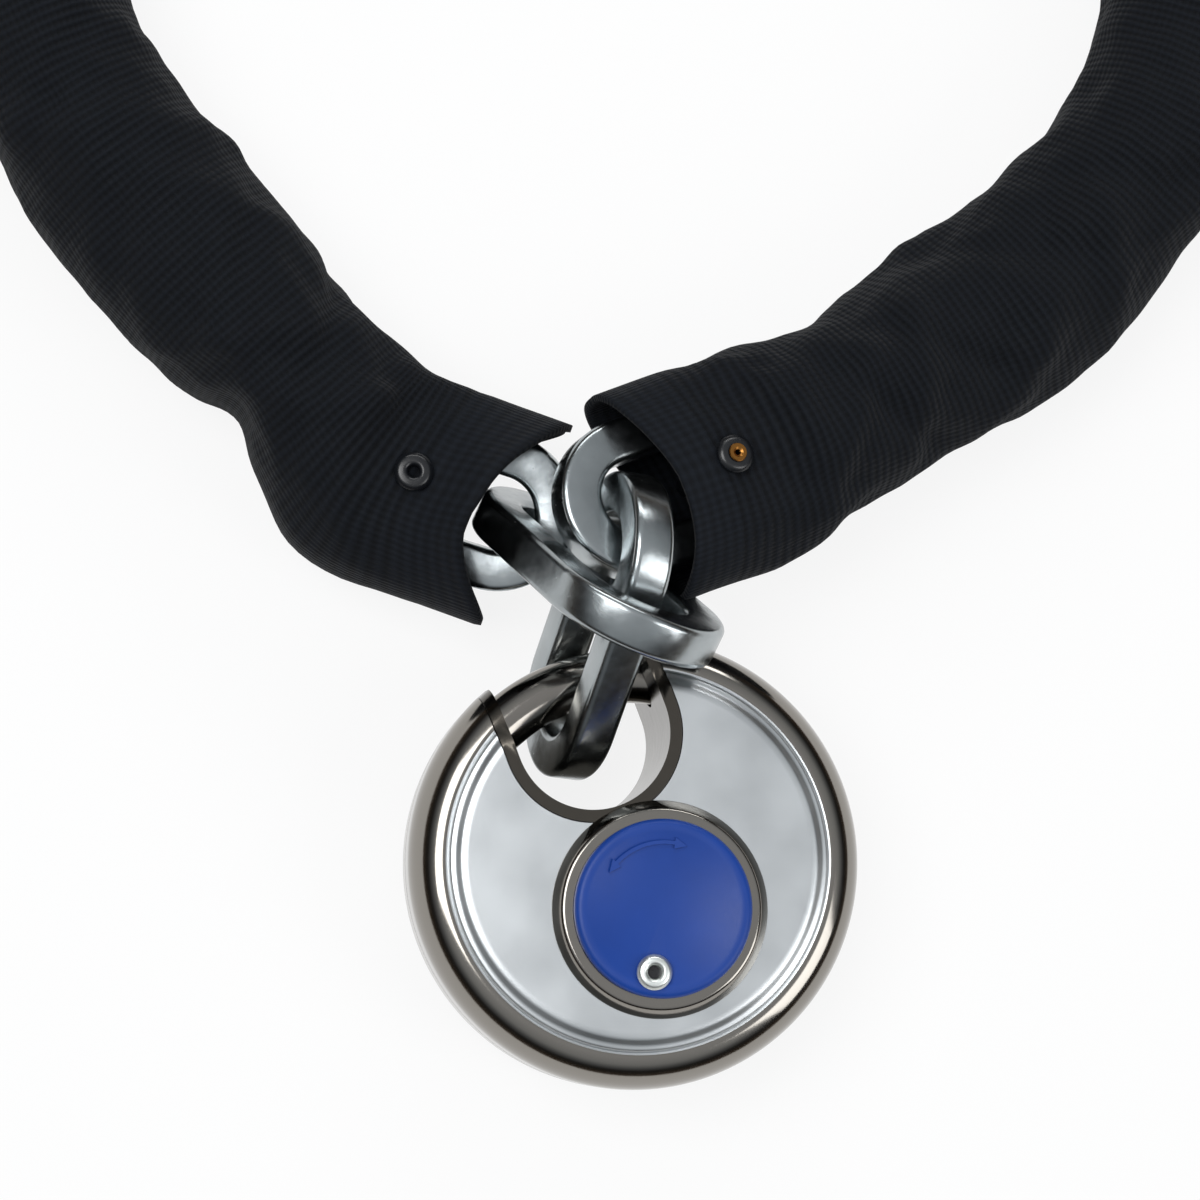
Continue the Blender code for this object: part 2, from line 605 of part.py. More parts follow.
class Route:
    """The chain's middle line, read by the distance along it."""

    def __init__(self):
        loop = arc_points(LOOP_RADIUS, LOOP_START, LOOP_END, LOOP_STEPS, LOOP_CENTRE)
        points = [Vector(point) * MM for point in LEFT_RUN]
        points += [Vector((x, y, SLEEVE_RADIUS)) for x, y in loop]
        points += [Vector(point) * MM for point in reversed(RIGHT_RUN)]
        self.samples = smooth_route(points)
        self.distances = [0.0]
        for start, end in zip(self.samples, self.samples[1:]):
            self.distances.append(self.distances[-1] + (end - start).length)
        self.length = self.distances[-1]

    def point(self, distance):
        """The place at a distance; past either end the line runs on straight."""
        if distance <= 0:
            return self.samples[0] + (self.samples[1] - self.samples[0]).normalized() * distance
        if distance >= self.length:
            onward = (self.samples[-1] - self.samples[-2]).normalized()
            return self.samples[-1] + onward * (distance - self.length)
        index = next(i for i, reached in enumerate(self.distances) if reached >= distance)
        share = (distance - self.distances[index - 1]) / (self.distances[index] - self.distances[index - 1])
        return self.samples[index - 1].lerp(self.samples[index], share)

    def heading(self, distance, reach=LINK_LENGTH / 4):
        return (self.point(distance + reach) - self.point(distance - reach)).normalized()


def make_chain(route, material):
    """Links lie flat and on edge by turns; two at each end are laid as the padlock's links hold them."""
    laid = {0: FIRST_LINK, 1: SECOND_LINK, SLEEVED_LINKS - 2: LINK_BEFORE_LAST, SLEEVED_LINKS - 1: LAST_LINK}
    pitch = (route.length - LEFT_REACH - RIGHT_REACH) / (SLEEVED_LINKS - 3)
    for number in range(SLEEVED_LINKS):
        distance = LEFT_REACH + (number - 1) * pitch
        along = route.heading(distance)
        flat = along.cross(Vector((0, 0, 1)))
        across = flat if number % 2 == 0 else Vector((0, 0, 1))
        place = link_frame(route.point(distance), along, across)
        if number in laid:
            place = laid_frame(laid[number])
        make_link(f"chain_link_{number + 1:02d}", place, material)
    make_link("end_link_left", laid_frame(LEFT_END_LINK), material, LEFT_LINK_LENGTH, LEFT_LINK_GAP)
    make_link("end_link_right", laid_frame(RIGHT_END_LINK), material, RIGHT_LINK_LENGTH, RIGHT_LINK_GAP)


# Sleeve

def blend(start, end, share):
    share = max(0.0, min(1.0, share))
    return start + (end - start) * share * share * (3 - 2 * share)


def sleeve_section(inset):
    """Half width, half height and squareness of the sleeve at a distance inside the nearer mouth."""
    flat = SLEEVE_RIVET_HEAD + 3 * GAP
    wide = SLEEVE_RADIUS + 1.8 * MM
    if inset < RIVET_REACH:
        share = inset / (RIVET_REACH - flat)
        return blend(MOUTH_HALF_WIDTH, wide, share), blend(MOUTH_HALF_HEIGHT, RIVET_HALF_HEIGHT, share), 0.7
    share = (inset - RIVET_REACH - flat) / FLARE_LENGTH
    return blend(wide, SLEEVE_RADIUS, share), blend(RIVET_HALF_HEIGHT, SLEEVE_RADIUS, share), blend(0.7, 1, share / 2)


def sleeve_axes(route, distance):
    along = route.heading(distance)
    side = along.cross(Vector((0, 0, 1))).normalized()
    return along, side, side.cross(along)


def sleeve_ring(bm, route, distance, shrink):
    width, height, power = sleeve_section(min(distance, route.length - distance))
    along, side, lift = sleeve_axes(route, distance)
    ring = []
    for corner in range(TUBE_SIDES):
        turn = math.tau * corner / TUBE_SIDES
        right = math.copysign(abs(math.cos(turn)) ** power, math.cos(turn))
        up = math.copysign(abs(math.sin(turn)) ** power, math.sin(turn))
        reach = height if up > 0 else min(height, route.point(distance).z)
        offset = side * (width - shrink) * right + lift * (reach - shrink) * up
        ring.append(bm.verts.new(route.point(distance) + offset))
    return ring


def join_rings(bm, ring, following):
    for corner in range(TUBE_SIDES):
        after = (corner + 1) % TUBE_SIDES
        bm.faces.new((ring[corner], ring[after], following[after], following[corner]))


def rivet_frame(route, distance):
    """The place of a sleeve rivet, standing square to the sleeve."""
    along, side, lift = sleeve_axes(route, distance)
    turn = Matrix((side, along, lift)).transposed()
    return Matrix.Translation(route.point(distance)) @ turn.to_4x4()


def make_sleeve(route, material):
    flat = SLEEVE_RIVET_HEAD + 3 * GAP
    near = [0, (RIVET_REACH - flat) / 2, RIVET_REACH - flat, RIVET_REACH + flat]
    near += [near[-1] + FLARE_LENGTH * step / 4 for step in range(1, 5)]
    run = route.length - 2 * near[-1]
    places = near + [near[-1] + run * station / SLEEVE_STATIONS for station in range(1, SLEEVE_STATIONS)]
    places += [route.length - place for place in reversed(near)]
    bm = bmesh.new()
    outer = [sleeve_ring(bm, route, place, 0) for place in places]
    inner = [sleeve_ring(bm, route, place, SLEEVE_WALL) for place in places]
    for rings in (outer, inner):
        for ring, following in zip(rings, rings[1:]):
            join_rings(bm, ring, following)
    join_rings(bm, outer[0], inner[0])
    join_rings(bm, outer[-1], inner[-1])
    sleeve = add_object("textile_sleeve", bm, material)
    for number, distance in enumerate((RIVET_REACH, route.length - RIVET_REACH)):
        hole = disc(SLEEVE_RIVET_SHANK + GAP, -SLEEVE_RADIUS, SLEEVE_RADIUS, 12)
        bmesh.ops.transform(hole, matrix=rivet_frame(route, distance), verts=hole.verts)
        combine(sleeve, add_cutter(f"sleeve_hole_{number}", hole))


def make_sleeve_rivets(route, material):
    """Hollow rivets that hold the sleeve's ends through the openings of its first and last links."""
    seat = RIVET_HALF_HEIGHT + GAP
    crown = seat + SLEEVE_RIVET_THICKNESS
    edge = SLEEVE_RIVET_HEAD - 0.5 * MM
    outline = [(SLEEVE_RIVET_BORE, -crown), (SLEEVE_RIVET_HEAD, -crown), (SLEEVE_RIVET_HEAD, -seat),
               (SLEEVE_RIVET_SHANK, -seat), (SLEEVE_RIVET_SHANK, seat), (SLEEVE_RIVET_HEAD, seat),
               (SLEEVE_RIVET_HEAD, seat + 0.4 * MM), (edge, crown), (SLEEVE_RIVET_BORE, crown)]
    for name, distance in (("sleeve_rivet_left", RIVET_REACH), ("sleeve_rivet_right", route.length - RIVET_REACH)):
        rivet = lathe(outline, SMALL_STEPS)
        bmesh.ops.transform(rivet, matrix=rivet_frame(route, distance), verts=rivet.verts)
        add_object(name, rivet, material)


def main():
    clear_scene()
    materials = make_materials()
    frame = bpy.data.objects.new("lock_frame", None)
    frame.rotation_euler.z = LOCK_TURN
    bpy.context.collection.objects.link(frame)

    make_front_shell(materials["stainless"], frame)
    make_shell("lock_rear_shell", -1, materials["stainless"], frame)
    make_throat_liner(materials["stainless"], frame)
    make_shackle(materials["stainless"], frame)
    make_sector(materials["steel"], frame)
    make_carrier_pins(materials["steel"], frame)
    make_pinion(materials["steel"], frame)
    make_pinion_screw(materials["steel"], frame)
    make_housing(materials["brass"], frame)
    make_plug(materials["brass"], frame)
    make_pins(materials, frame)
    make_guide_strips(materials["steel"], frame)
    make_collar(materials["stainless"], frame)
    make_cover(materials["blue_plastic"], frame)
    make_cover_rivet(materials["stainless"], frame)

    route = Route()
    make_chain(route, materials["zinc"])
    make_sleeve(route, materials["textile"])
    make_sleeve_rivets(route, materials["black_plastic"])


main()
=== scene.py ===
"""Looks of the chain lock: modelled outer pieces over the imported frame, their finishes and the stage."""

import math

import bmesh
import bpy
from bpy.props import FloatProperty, FloatVectorProperty, PointerProperty
from mathutils import Matrix, Vector, noise


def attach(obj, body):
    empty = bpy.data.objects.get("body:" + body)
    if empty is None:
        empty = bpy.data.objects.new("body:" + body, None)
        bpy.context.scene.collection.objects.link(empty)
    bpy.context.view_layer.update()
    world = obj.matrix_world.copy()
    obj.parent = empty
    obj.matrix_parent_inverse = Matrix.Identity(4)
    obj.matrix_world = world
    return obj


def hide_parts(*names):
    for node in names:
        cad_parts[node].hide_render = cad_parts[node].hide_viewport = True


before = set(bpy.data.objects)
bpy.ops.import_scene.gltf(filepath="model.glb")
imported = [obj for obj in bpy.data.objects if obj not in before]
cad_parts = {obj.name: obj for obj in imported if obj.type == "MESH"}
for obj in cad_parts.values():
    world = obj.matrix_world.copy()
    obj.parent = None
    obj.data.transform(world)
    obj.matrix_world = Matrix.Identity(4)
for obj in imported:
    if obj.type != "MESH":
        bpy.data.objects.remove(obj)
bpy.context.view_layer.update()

bl_info = {
    "name": "Chain Lock Looks",
    "version": (1, 0, 0),
    "blender": (4, 5, 0),
    "location": "View3D > Sidebar > Chain Lock",
    "description": "Builds the visible pieces of a sleeved chain with a round padlock",
    "category": "Object",
}

MM = 0.001
RIGHT_ANGLE = math.radians(90)

# The padlock, in its own frame: the throat is towards +Y and the plug axis towards -Y
LOCK_TURN = math.radians(20)
MID = 12 * MM
LOCK_RADIUS = 30 * MM
STEP_RADIUS = 25.4 * MM
RIM_HEIGHT = 4.5 * MM
SHOULDER_HEIGHT = 10.7 * MM
BRIGHT_RADIUS = 25.35 * MM
SHELL_WALL = 0.95 * MM
PARTING_GAP = 0.15 * MM
THROAT_RADIUS = 10.2 * MM
THROAT_OFFSET = 17.7 * MM
THROAT_LENGTH = 40 * MM
LINER_WALL = 1.6 * MM
LINER_PLAY = 0.12 * MM
LIP_ROUND = 0.45 * MM
LIP_PROUD = 0.1 * MM
SHACKLE_RING = 25.1 * MM
SHACKLE_RADIUS = 3.6 * MM
SHACKLE_PLAY = 0.35 * MM
SHACKLE_NOSE = math.radians(-34)
SHACKLE_TAIL = math.radians(150)
NOSE_ROUND = 0.7 * MM

# The cylinder's boss, its cover, and the rivet that the cover turns on
PLUG_CENTRE = Vector((0, -7 * MM))
BOSS_BORE = 10.3 * MM
BOSS_HOLE = 10.6 * MM
COVER_BASE = 26.3 * MM
COVER_TOP = 28.5 * MM
COVER_RADIUS = 11.6 * MM
COVER_ROUND = 0.9 * MM
COVER_DISH = 0.12 * MM
ARROW_START = math.radians(-26)
ARROW_END = math.radians(30)
ARROW_RING = 8.5 * MM
ARROW_HALF_WIDTH = 0.24 * MM
ARROW_HEAD = 0.75 * MM
ARROW_TIP = 0.19
RIVET_CENTRE = Vector((-4.2 * MM, -14.2 * MM))
RIVET_BORE = 0.85 * MM
RIVET_HOLE = 1.65 * MM

# Chain links: middle in millimetres, heading, rise and roll in degrees, length and opening in millimetres
LINK_BAR = 5.6 * MM
LINK_CORNER = 0.95 * MM
CORNER_STEPS = 4
VISIBLE_LINKS = {
    "end_link_right": ((-4.57, 31.04, 18.51), 72.9, 33.6, 70.4, 44, 11),
    "end_link_left": ((-4.93, 37.75, 20.59), -54.8, 51.4, 53.7, 45, 13.6),
    "chain_link_01": ((-26.05, 50.30, 11.36), 162.1, -3.6, 12.6, 40, 10),
    "chain_link_02": ((-45.09, 66.45, 12.89), 129.9, 4.5, 90.0, 40, 10),
    "chain_link_20": ((31.73, 62.18, 15.08), 209.0, 11.0, 90.0, 40, 10),
    "chain_link_21": ((8.14, 50.68, 21.45), 201.0, 13.7, 0.0, 40, 10),
}
LINK_BODIES = {"end_link_right": "right_end_link", "end_link_left": "left_end_link"}

# The sleeve's middle line: two runs given in millimetres, and the round loop between them
LEFT_RUN = ((-23.5, 49.2, 11.8), (-26.4, 50.3, 11.6), (-35.5, 55.0, 11.9), (-45.1, 66.4, 12.9),
            (-53.9, 76.7, 13.4))
RIGHT_RUN = ((4.9, 49.4, 22.3), (8.3, 50.8, 21.4), (17.6, 54.7, 18.8), (31.7, 62.2, 15.3), (45.3, 71.2, 13.9))
LOOP_CENTRE = (1 * MM, 144.3 * MM)
LOOP_RADIUS = 85.6 * MM
LOOP_START = math.radians(-132)
LOOP_END = math.radians(138)
LOOP_STEPS = 18

# The sleeve's cloth
SLEEVE_RADIUS = 13.5 * MM
SLEEVE_GIRTH = math.tau * SLEEVE_RADIUS
MOUTH_HALF_WIDTH = 14.8 * MM
MOUTH_SQUARENESS = 0.78
FLARE_START = 9.5 * MM
FLARE_LENGTH = 9 * MM
CLOTH_SIDES = 96
CLOTH_PITCH = 1.05 * MM
LIP_LENGTH = 14 * MM
RAISED_LIP = 5.2 * MM
RAISED_LENGTH = 5.5 * MM
HEM_WIDTH = 6 * MM
LINK_REPEAT = 26 * MM
FLOOR_GAP = 0.15 * MM
RIVET_REACH = 6 * MM
RIVET_HALF_HEIGHT = 9.2 * MM

# Folds near both mouths: distance from the mouth (mm), turn round the sleeve (degrees), slant
# (radians), half length and half width (mm), and height, where 1 is two thirds of the fold depth
FOLDS = (
    (14, 60, 0.9, 13, 2.6, -1.1), (22, 95, -0.7, 14, 2.4, 1.2), (27, 70, 0.5, 15, 2.0, -1.2),
    (34, 100, -0.5, 17, 2.6, 1.2), (42, 75, 0.7, 15, 2.2, -1.0), (50, 60, -0.9, 18, 3.0, 1.3),
    (58, 110, 0.8, 16, 2.4, -1.1), (66, 80, -0.5, 18, 2.8, 1.1), (75, 100, 0.6, 16, 2.6, -1.0),
    (85, 70, -0.7, 16, 3.0, 1.1), (12, 120, 0.4, 10, 2.0, 0.8),
)
DEGREE_OF_SLEEVE = 0.235    # millimetres of cloth per degree round the sleeve

# Camera
CAMERA_DISTANCE = 0.46
FRAME_WIDTH = 160.6 * MM
SENSOR_WIDTH = 36
CAMERA_SIDE = Vector((-0.12, -0.12, 0.985))
CAMERA_AIM = (-3.9 * MM, 35.2 * MM)


# Settings

class ChainLockSizes(bpy.types.PropertyGroup):
    """Sizes of the visible detail."""

    rib_spacing: FloatProperty(
        name="Rib spacing", description="Distance between the ribs of the sleeve, in millimetres",
        default=1.15, min=0.5, max=4)
    fold_depth: FloatProperty(
        name="Fold depth", description="Height of the sleeve's folds",
        default=1.5 * MM, min=0, max=4 * MM, unit="LENGTH")
    cloth_thickness: FloatProperty(
        name="Cloth thickness", description="Thickness of the sleeve's cloth",
        default=0.9 * MM, min=0.3 * MM, max=2 * MM, unit="LENGTH")
    mark_height: FloatProperty(
        name="Arrow height", description="How far the turning arrow stands up from the cover",
        default=0.3 * MM, min=0, max=1 * MM, unit="LENGTH")


def linear(code):
    """An sRGB hex colour as linear red, green and blue."""
    channels = [int(code[start:start + 2], 16) / 255 for start in (1, 3, 5)]
    return tuple(c / 12.92 if c <= 0.04045 else ((c + 0.055) / 1.055) ** 2.4 for c in channels)


def colour_setting(name, description, code):
    return FloatVectorProperty(name=name, description=description, default=linear(code),
                               min=0, max=1, subtype="COLOR", size=3)


class ChainLockColours(bpy.types.PropertyGroup):
    """Base colours of the finishes."""

    face: colour_setting("Face", "Brushed stainless face", "#CDD1D3")
    # The rim colour is darker and warmer than the face of the same stainless sheet: a painted dark, warm
    # reflection. The shackle and the boss take the same finish.
    rim: colour_setting("Rim", "Polished stainless rim", "#8E8A84")
    # The lip colour is painted shade: the throat's polished stainless lip and inner wall are drawn far darker
    # than the stainless elsewhere.
    lip: colour_setting("Throat lip", "Polished lip of the throat with painted shade", "#55514B")
    links: colour_setting("Links", "Zinc-plated links", "#A9AFB1")
    cover: colour_setting("Cover", "Blue keyway cover", "#0F3C90")
    sleeve: colour_setting("Sleeve", "Woven sleeve", "#0B0E13")


# Finishes

def add_node(material, kind, inputs, feeds=None, **settings):
    """Adds a node with its settings. An input given as (node, output) is linked, any other is a plain value.
    feeds is (output, socket), for an output that goes to a socket of the shader."""
    tree = material.node_tree
    node = tree.nodes.new(kind)
    for name, value in settings.items():
        setattr(node, name, value)
    for socket, value in inputs.items():
        if isinstance(value, tuple) and isinstance(value[0], bpy.types.Node):
            tree.links.new(value[0].outputs[value[1]], node.inputs[socket])
        else:
            node.inputs[socket].default_value = value
    if feeds:
        tree.links.new(node.outputs[feeds[0]], tree.nodes["Principled BSDF"].inputs[feeds[1]])
    return node


def new_material(name, colour, metallic, roughness, **shader):
    material = bpy.data.materials.new(name)
    material.use_nodes = True
    values = {"Base Color": (*colour, 1), "Metallic": metallic, "Roughness": roughness}
    values.update((socket.replace("_", " "), value) for socket, value in shader.items())
    for socket, value in values.items():
        material.node_tree.nodes["Principled BSDF"].inputs[socket].default_value = value
    return material


def shade(colour, share):
    return (*(min(1, channel * share) for channel in colour), 1)


def repeats(size):
    """Scale of a pattern on Object coordinates whose features are about this many millimetres across."""
    return 1 / (size * MM)


def brushed_stainless(colour):
    """Pressed stainless sheet, brushed across: fine straight grain and soft pale clouds."""
    material = new_material("brushed stainless sheet", colour, 1.0, 0.3)
    place = add_node(material, "ShaderNodeTexCoord", {})
    across = add_node(material, "ShaderNodeMapping", {
        "Vector": (place, "Object"), "Scale": (1, 14, 1), "Rotation": (0, 0, math.radians(28))})
    grain = add_node(material, "ShaderNodeTexNoise", {
        "Vector": (across, 0), "Scale": repeats(3.85), "Detail": 4, "Roughness": 0.6})
    cloud = add_node(material, "ShaderNodeTexNoise", {
        "Vector": (place, "Object"), "Scale": repeats(11.1), "Detail": 3, "Roughness": 0.5})
    add_node(material, "ShaderNodeMapRange", {0: (cloud, 0), 3: 0.24, 4: 0.44}, (0, "Roughness"))
    add_node(material, "ShaderNodeMix", {0: (cloud, 0), 6: shade(colour, 0.86), 7: shade(colour, 1.08)},
             (2, "Base Color"), data_type="RGBA")
    wavy = add_node(material, "ShaderNodeBump", {"Height": (cloud, 0), "Distance": 0.08 * MM, "Strength": 0.5})
    add_node(material, "ShaderNodeBump", {
        "Height": (grain, 0), "Distance": 0.012 * MM, "Strength": 0.5, "Normal": (wavy, 0)}, (0, "Normal"))
    return material


def polished_stainless(name, colour, smoothest, roughest):
    """Stainless buffed after pressing: near-mirror, with fine scratches from handling."""
    material = new_material(name, colour, 1.0, smoothest)
    place = add_node(material, "ShaderNodeTexCoord", {})
    upright = add_node(material, "ShaderNodeMapping", {"Vector": (place, "Object"), "Scale": (1, 1, 5)})
    scratch = add_node(material, "ShaderNodeTexNoise", {
        "Vector": (upright, 0), "Scale": repeats(2.38), "Detail": 5, "Roughness": 0.7})
    add_node(material, "ShaderNodeMapRange", {0: (scratch, 0), 3: smoothest, 4: roughest}, (0, "Roughness"))
    add_node(material, "ShaderNodeBump", {"Height": (scratch, 0), "Distance": 0.006 * MM, "Strength": 0.4},
             (0, "Normal"))
    return material


def zinc_plate(colour):
    """Bright zinc plating over square bar: bluish grey, slightly wavy, with dull spots."""
    material = new_material("bright zinc-plated steel", colour, 1.0, 0.2)
    place = add_node(material, "ShaderNodeTexCoord", {})
    waves = add_node(material, "ShaderNodeTexNoise", {
        "Vector": (place, "Object"), "Scale": repeats(5.88), "Detail": 3, "Roughness": 0.5})
    spots = add_node(material, "ShaderNodeTexNoise", {
        "Vector": (place, "Object"), "Scale": repeats(1.61), "Detail": 5, "Roughness": 0.65})
    add_node(material, "ShaderNodeMapRange", {0: (spots, 0), 3: 0.12, 4: 0.34}, (0, "Roughness"))
    add_node(material, "ShaderNodeMix", {0: (waves, 0), 6: shade(colour, 0.72), 7: shade(colour, 1.12)},
             (2, "Base Color"), data_type="RGBA")
    soft = add_node(material, "ShaderNodeBump", {"Height": (waves, 0), "Distance": 0.14 * MM, "Strength": 0.6})
    add_node(material, "ShaderNodeBump", {
        "Height": (spots, 0), "Distance": 0.01 * MM, "Strength": 0.5, "Normal": (soft, 0)}, (0, "Normal"))
    return material


def moulded_abs(colour):
    """Injection-moulded ABS from a fine spark-eroded mould: even blue, satin shine."""
    material = new_material("moulded blue ABS", colour, 0.0, 0.42, IOR=1.53, Specular_IOR_Level=0.32)
    place = add_node(material, "ShaderNodeTexCoord", {})
    cloud = add_node(material, "ShaderNodeTexNoise", {
        "Vector": (place, "Object"), "Scale": repeats(7.14), "Detail": 2})
    grit = add_node(material, "ShaderNodeTexNoise", {
        "Vector": (place, "Object"), "Scale": repeats(0.385), "Detail": 2})
    add_node(material, "ShaderNodeMix", {0: (cloud, 0), 6: shade(colour, 0.85), 7: shade(colour, 1.12)},
             (2, "Base Color"), data_type="RGBA")
    add_node(material, "ShaderNodeMapRange", {0: (grit, 0), 3: 0.36, 4: 0.5}, (0, "Roughness"))
    add_node(material, "ShaderNodeBump", {"Height": (grit, 0), "Distance": 0.02 * MM, "Strength": 0.35},
             (0, "Normal"))
    return material


def spun_aluminium(colour):
    """Aluminium rivet, spun over: pale and satin."""
    material = new_material("spun aluminium", colour, 1.0, 0.35)
    place = add_node(material, "ShaderNodeTexCoord", {})
    fine = add_node(material, "ShaderNodeTexNoise", {
        "Vector": (place, "Object"), "Scale": repeats(0.667), "Detail": 3})
    add_node(material, "ShaderNodeMapRange", {0: (fine, 0), 3: 0.28, 4: 0.45}, (0, "Roughness"))
    add_node(material, "ShaderNodeBump", {"Height": (fine, 0), "Distance": 0.01 * MM, "Strength": 0.4},
             (0, "Normal"))
    return material


def machined_metal(name, colour, roughness):
    """Turned or milled metal: faint tool marks that run round its upright sides."""
    material = new_material(name, colour, 1.0, roughness)
    place = add_node(material, "ShaderNodeTexCoord", {})
    upright = add_node(material, "ShaderNodeMapping", {"Vector": (place, "Object"), "Scale": (1, 1, 12)})
    marks = add_node(material, "ShaderNodeTexNoise", {
        "Vector": (upright, 0), "Scale": repeats(2), "Detail": 3})
    add_node(material, "ShaderNodeMapRange", {0: (marks, 0), 3: roughness * 0.8, 4: roughness * 1.25},
             (0, "Roughness"))
    add_node(material, "ShaderNodeBump", {"Height": (marks, 0), "Distance": 0.01 * MM, "Strength": 0.5},
             (0, "Normal"))
    return material


def moulded_nylon(colour):
    """Moulded nylon: near black and smooth, with a soft round shine."""
    material = new_material("moulded black nylon", colour, 0.0, 0.28, IOR=1.53)
    place = add_node(material, "ShaderNodeTexCoord", {})
    cloud = add_node(material, "ShaderNodeTexNoise", {
        "Vector": (place, "Object"), "Scale": repeats(1.11), "Detail": 3})
    add_node(material, "ShaderNodeMapRange", {0: (cloud, 0), 3: 0.2, 4: 0.38}, (0, "Roughness"))
    add_node(material, "ShaderNodeBump", {"Height": (cloud, 0), "Distance": 0.03 * MM, "Strength": 0.4},
             (0, "Normal"))
    return material


def woven_polyester(name, colour, rib_spacing, rib_share):
    """Tube woven from polyester: dull black. Its weft stands up as ribs round the tube, under 1 mm apart and
    drawn a little wider so that they show, and its warp threads cross them. The UV map is in millimetres."""
    warp_spacing = 0.95
    wave_repeat = math.tau / 20      # a Wave texture of scale 1 repeats after this length
    material = new_material(name, colour, 0.0, 0.86, IOR=1.46, Specular_IOR_Level=0.22, Sheen_Weight=0.03,
                            Sheen_Roughness=0.4)
    place = add_node(material, "ShaderNodeTexCoord", {})
    ribs = add_node(material, "ShaderNodeTexWave", {
        "Vector": (place, "UV"), "Scale": wave_repeat / rib_spacing, "Distortion": 0.35, "Detail": 1,
        "Detail Scale": 0.6}, bands_direction="Y")
    warp = add_node(material, "ShaderNodeTexWave", {
        "Vector": (place, "UV"), "Scale": wave_repeat / warp_spacing, "Distortion": 0.3, "Detail": 1},
        bands_direction="X")
    wear = add_node(material, "ShaderNodeTexNoise", {"Vector": (place, "UV"), "Scale": 0.35, "Detail": 2})
    fuzz = add_node(material, "ShaderNodeTexNoise", {
        "Vector": (place, "UV"), "Scale": 3.0, "Detail": 5, "Roughness": 0.7})
    weave = add_node(material, "ShaderNodeMath", {0: (ribs, "Fac"), 1: rib_share}, operation="MULTIPLY")
    crossed = add_node(material, "ShaderNodeMath", {0: (warp, "Fac"), 1: 0.28, 2: (weave, 0)},
                       operation="MULTIPLY_ADD")
    height = add_node(material, "ShaderNodeMath", {0: (fuzz, 0), 1: 0.35, 2: (crossed, 0)},
                      operation="MULTIPLY_ADD")
    # The base colour follows the weave's height: painted shade in the grooves between ribs and threads, and a
    # painted highlight on their tops, with some random tone from the fuzz.
    add_node(material, "ShaderNodeMix", {0: (height, 0), 6: shade(colour, 0.35), 7: shade(colour, 1.7)},
             (2, "Base Color"), data_type="RGBA")
    add_node(material, "ShaderNodeMapRange", {0: (wear, 0), 3: 0.78, 4: 0.94}, (0, "Roughness"))
    add_node(material, "ShaderNodeBump", {"Height": (height, 0), "Distance": 0.32 * MM, "Strength": 0.9},
             (0, "Normal"))
    return material


FINISHES = {}


def finishes():
    """The materials, made once from the colour settings."""
    if not FINISHES:
        colours = bpy.context.scene.chain_lock_colours
        spacing = bpy.context.scene.chain_lock_sizes.rib_spacing
        hem_colour = [channel * 1.5 for channel in colours.sleeve]
        FINISHES.update(
            face=brushed_stainless(colours.face),
            # The rim finish's dark, warm colour is a painted reflection.
            rim=polished_stainless("polished stainless rim with painted dark reflection", colours.rim, 0.07, 0.2),
            # The lip finish's near-black colour is painted shade inside the throat.
            lip=polished_stainless("polished stainless lip with painted shade", colours.lip, 0.1, 0.26),
            zinc=zinc_plate(colours.links),
            cover=moulded_abs(colours.cover),
            rivet=spun_aluminium(linear("#E4E9E6")),
            brass=machined_metal("free-cutting brass", linear("#C7A24B"), 0.3),
            steel=machined_metal("machined bare steel", linear("#8C8F92"), 0.34),
            nylon=moulded_nylon(linear("#101216")),
            eyelet=machined_metal("brass eyelet", linear("#9A6A34"), 0.32),
            cloth=woven_polyester("ribbed polyester tube", colours.sleeve, spacing, 0.75),
            hem=woven_polyester("woven polyester hem", hem_colour, spacing, 0.35),
        )
    return FINISHES


# Mesh helpers

def finished_piece(name, bm, materials, body, nodes=(), angle=32, clean=True):
    """Turns a bmesh into a piece at the origin that rides on a body and stands for CAD nodes."""
    if clean:
        bmesh.ops.remove_doubles(bm, verts=bm.verts, dist=0.002 * MM)
        bmesh.ops.recalc_face_normals(bm, faces=bm.faces)
    mesh = bpy.data.meshes.new(name)
    bm.to_mesh(mesh)
    bm.free()
    piece = bpy.data.objects.new(name, mesh)
    bpy.context.scene.collection.objects.link(piece)
    for material in materials:
        mesh.materials.append(material)
    mesh.shade_smooth()
    mesh.set_sharp_from_angle(angle=math.radians(angle))
    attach(piece, body)
    if nodes:
        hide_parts(*nodes)
    return piece


def paint(node, material):
    for slot in node.material_slots:
        slot.material = material
    if not node.material_slots:
        node.data.materials.append(material)


def turned(outline, steps=160, centre=(0, 0)):
    """A bmesh spun about a vertical axis from (radius, height) points."""
    bm = bmesh.new()
    points = [bm.verts.new((centre[0] + radius, centre[1], height)) for radius, height in outline]
    edges = [bm.edges.new(pair) for pair in zip(points, points[1:])]
    bmesh.ops.spin(bm, geom=points + edges, cent=(*centre, 0), axis=(0, 0, 1), angle=math.tau, steps=steps,
                   use_merge=True)
    bmesh.ops.remove_doubles(bm, verts=bm.verts, dist=0.002 * MM)
    return bm


def turn_to_lock(bm):
    bmesh.ops.rotate(bm, verts=bm.verts, cent=(0, 0, 0), matrix=Matrix.Rotation(LOCK_TURN, 3, "Z"))


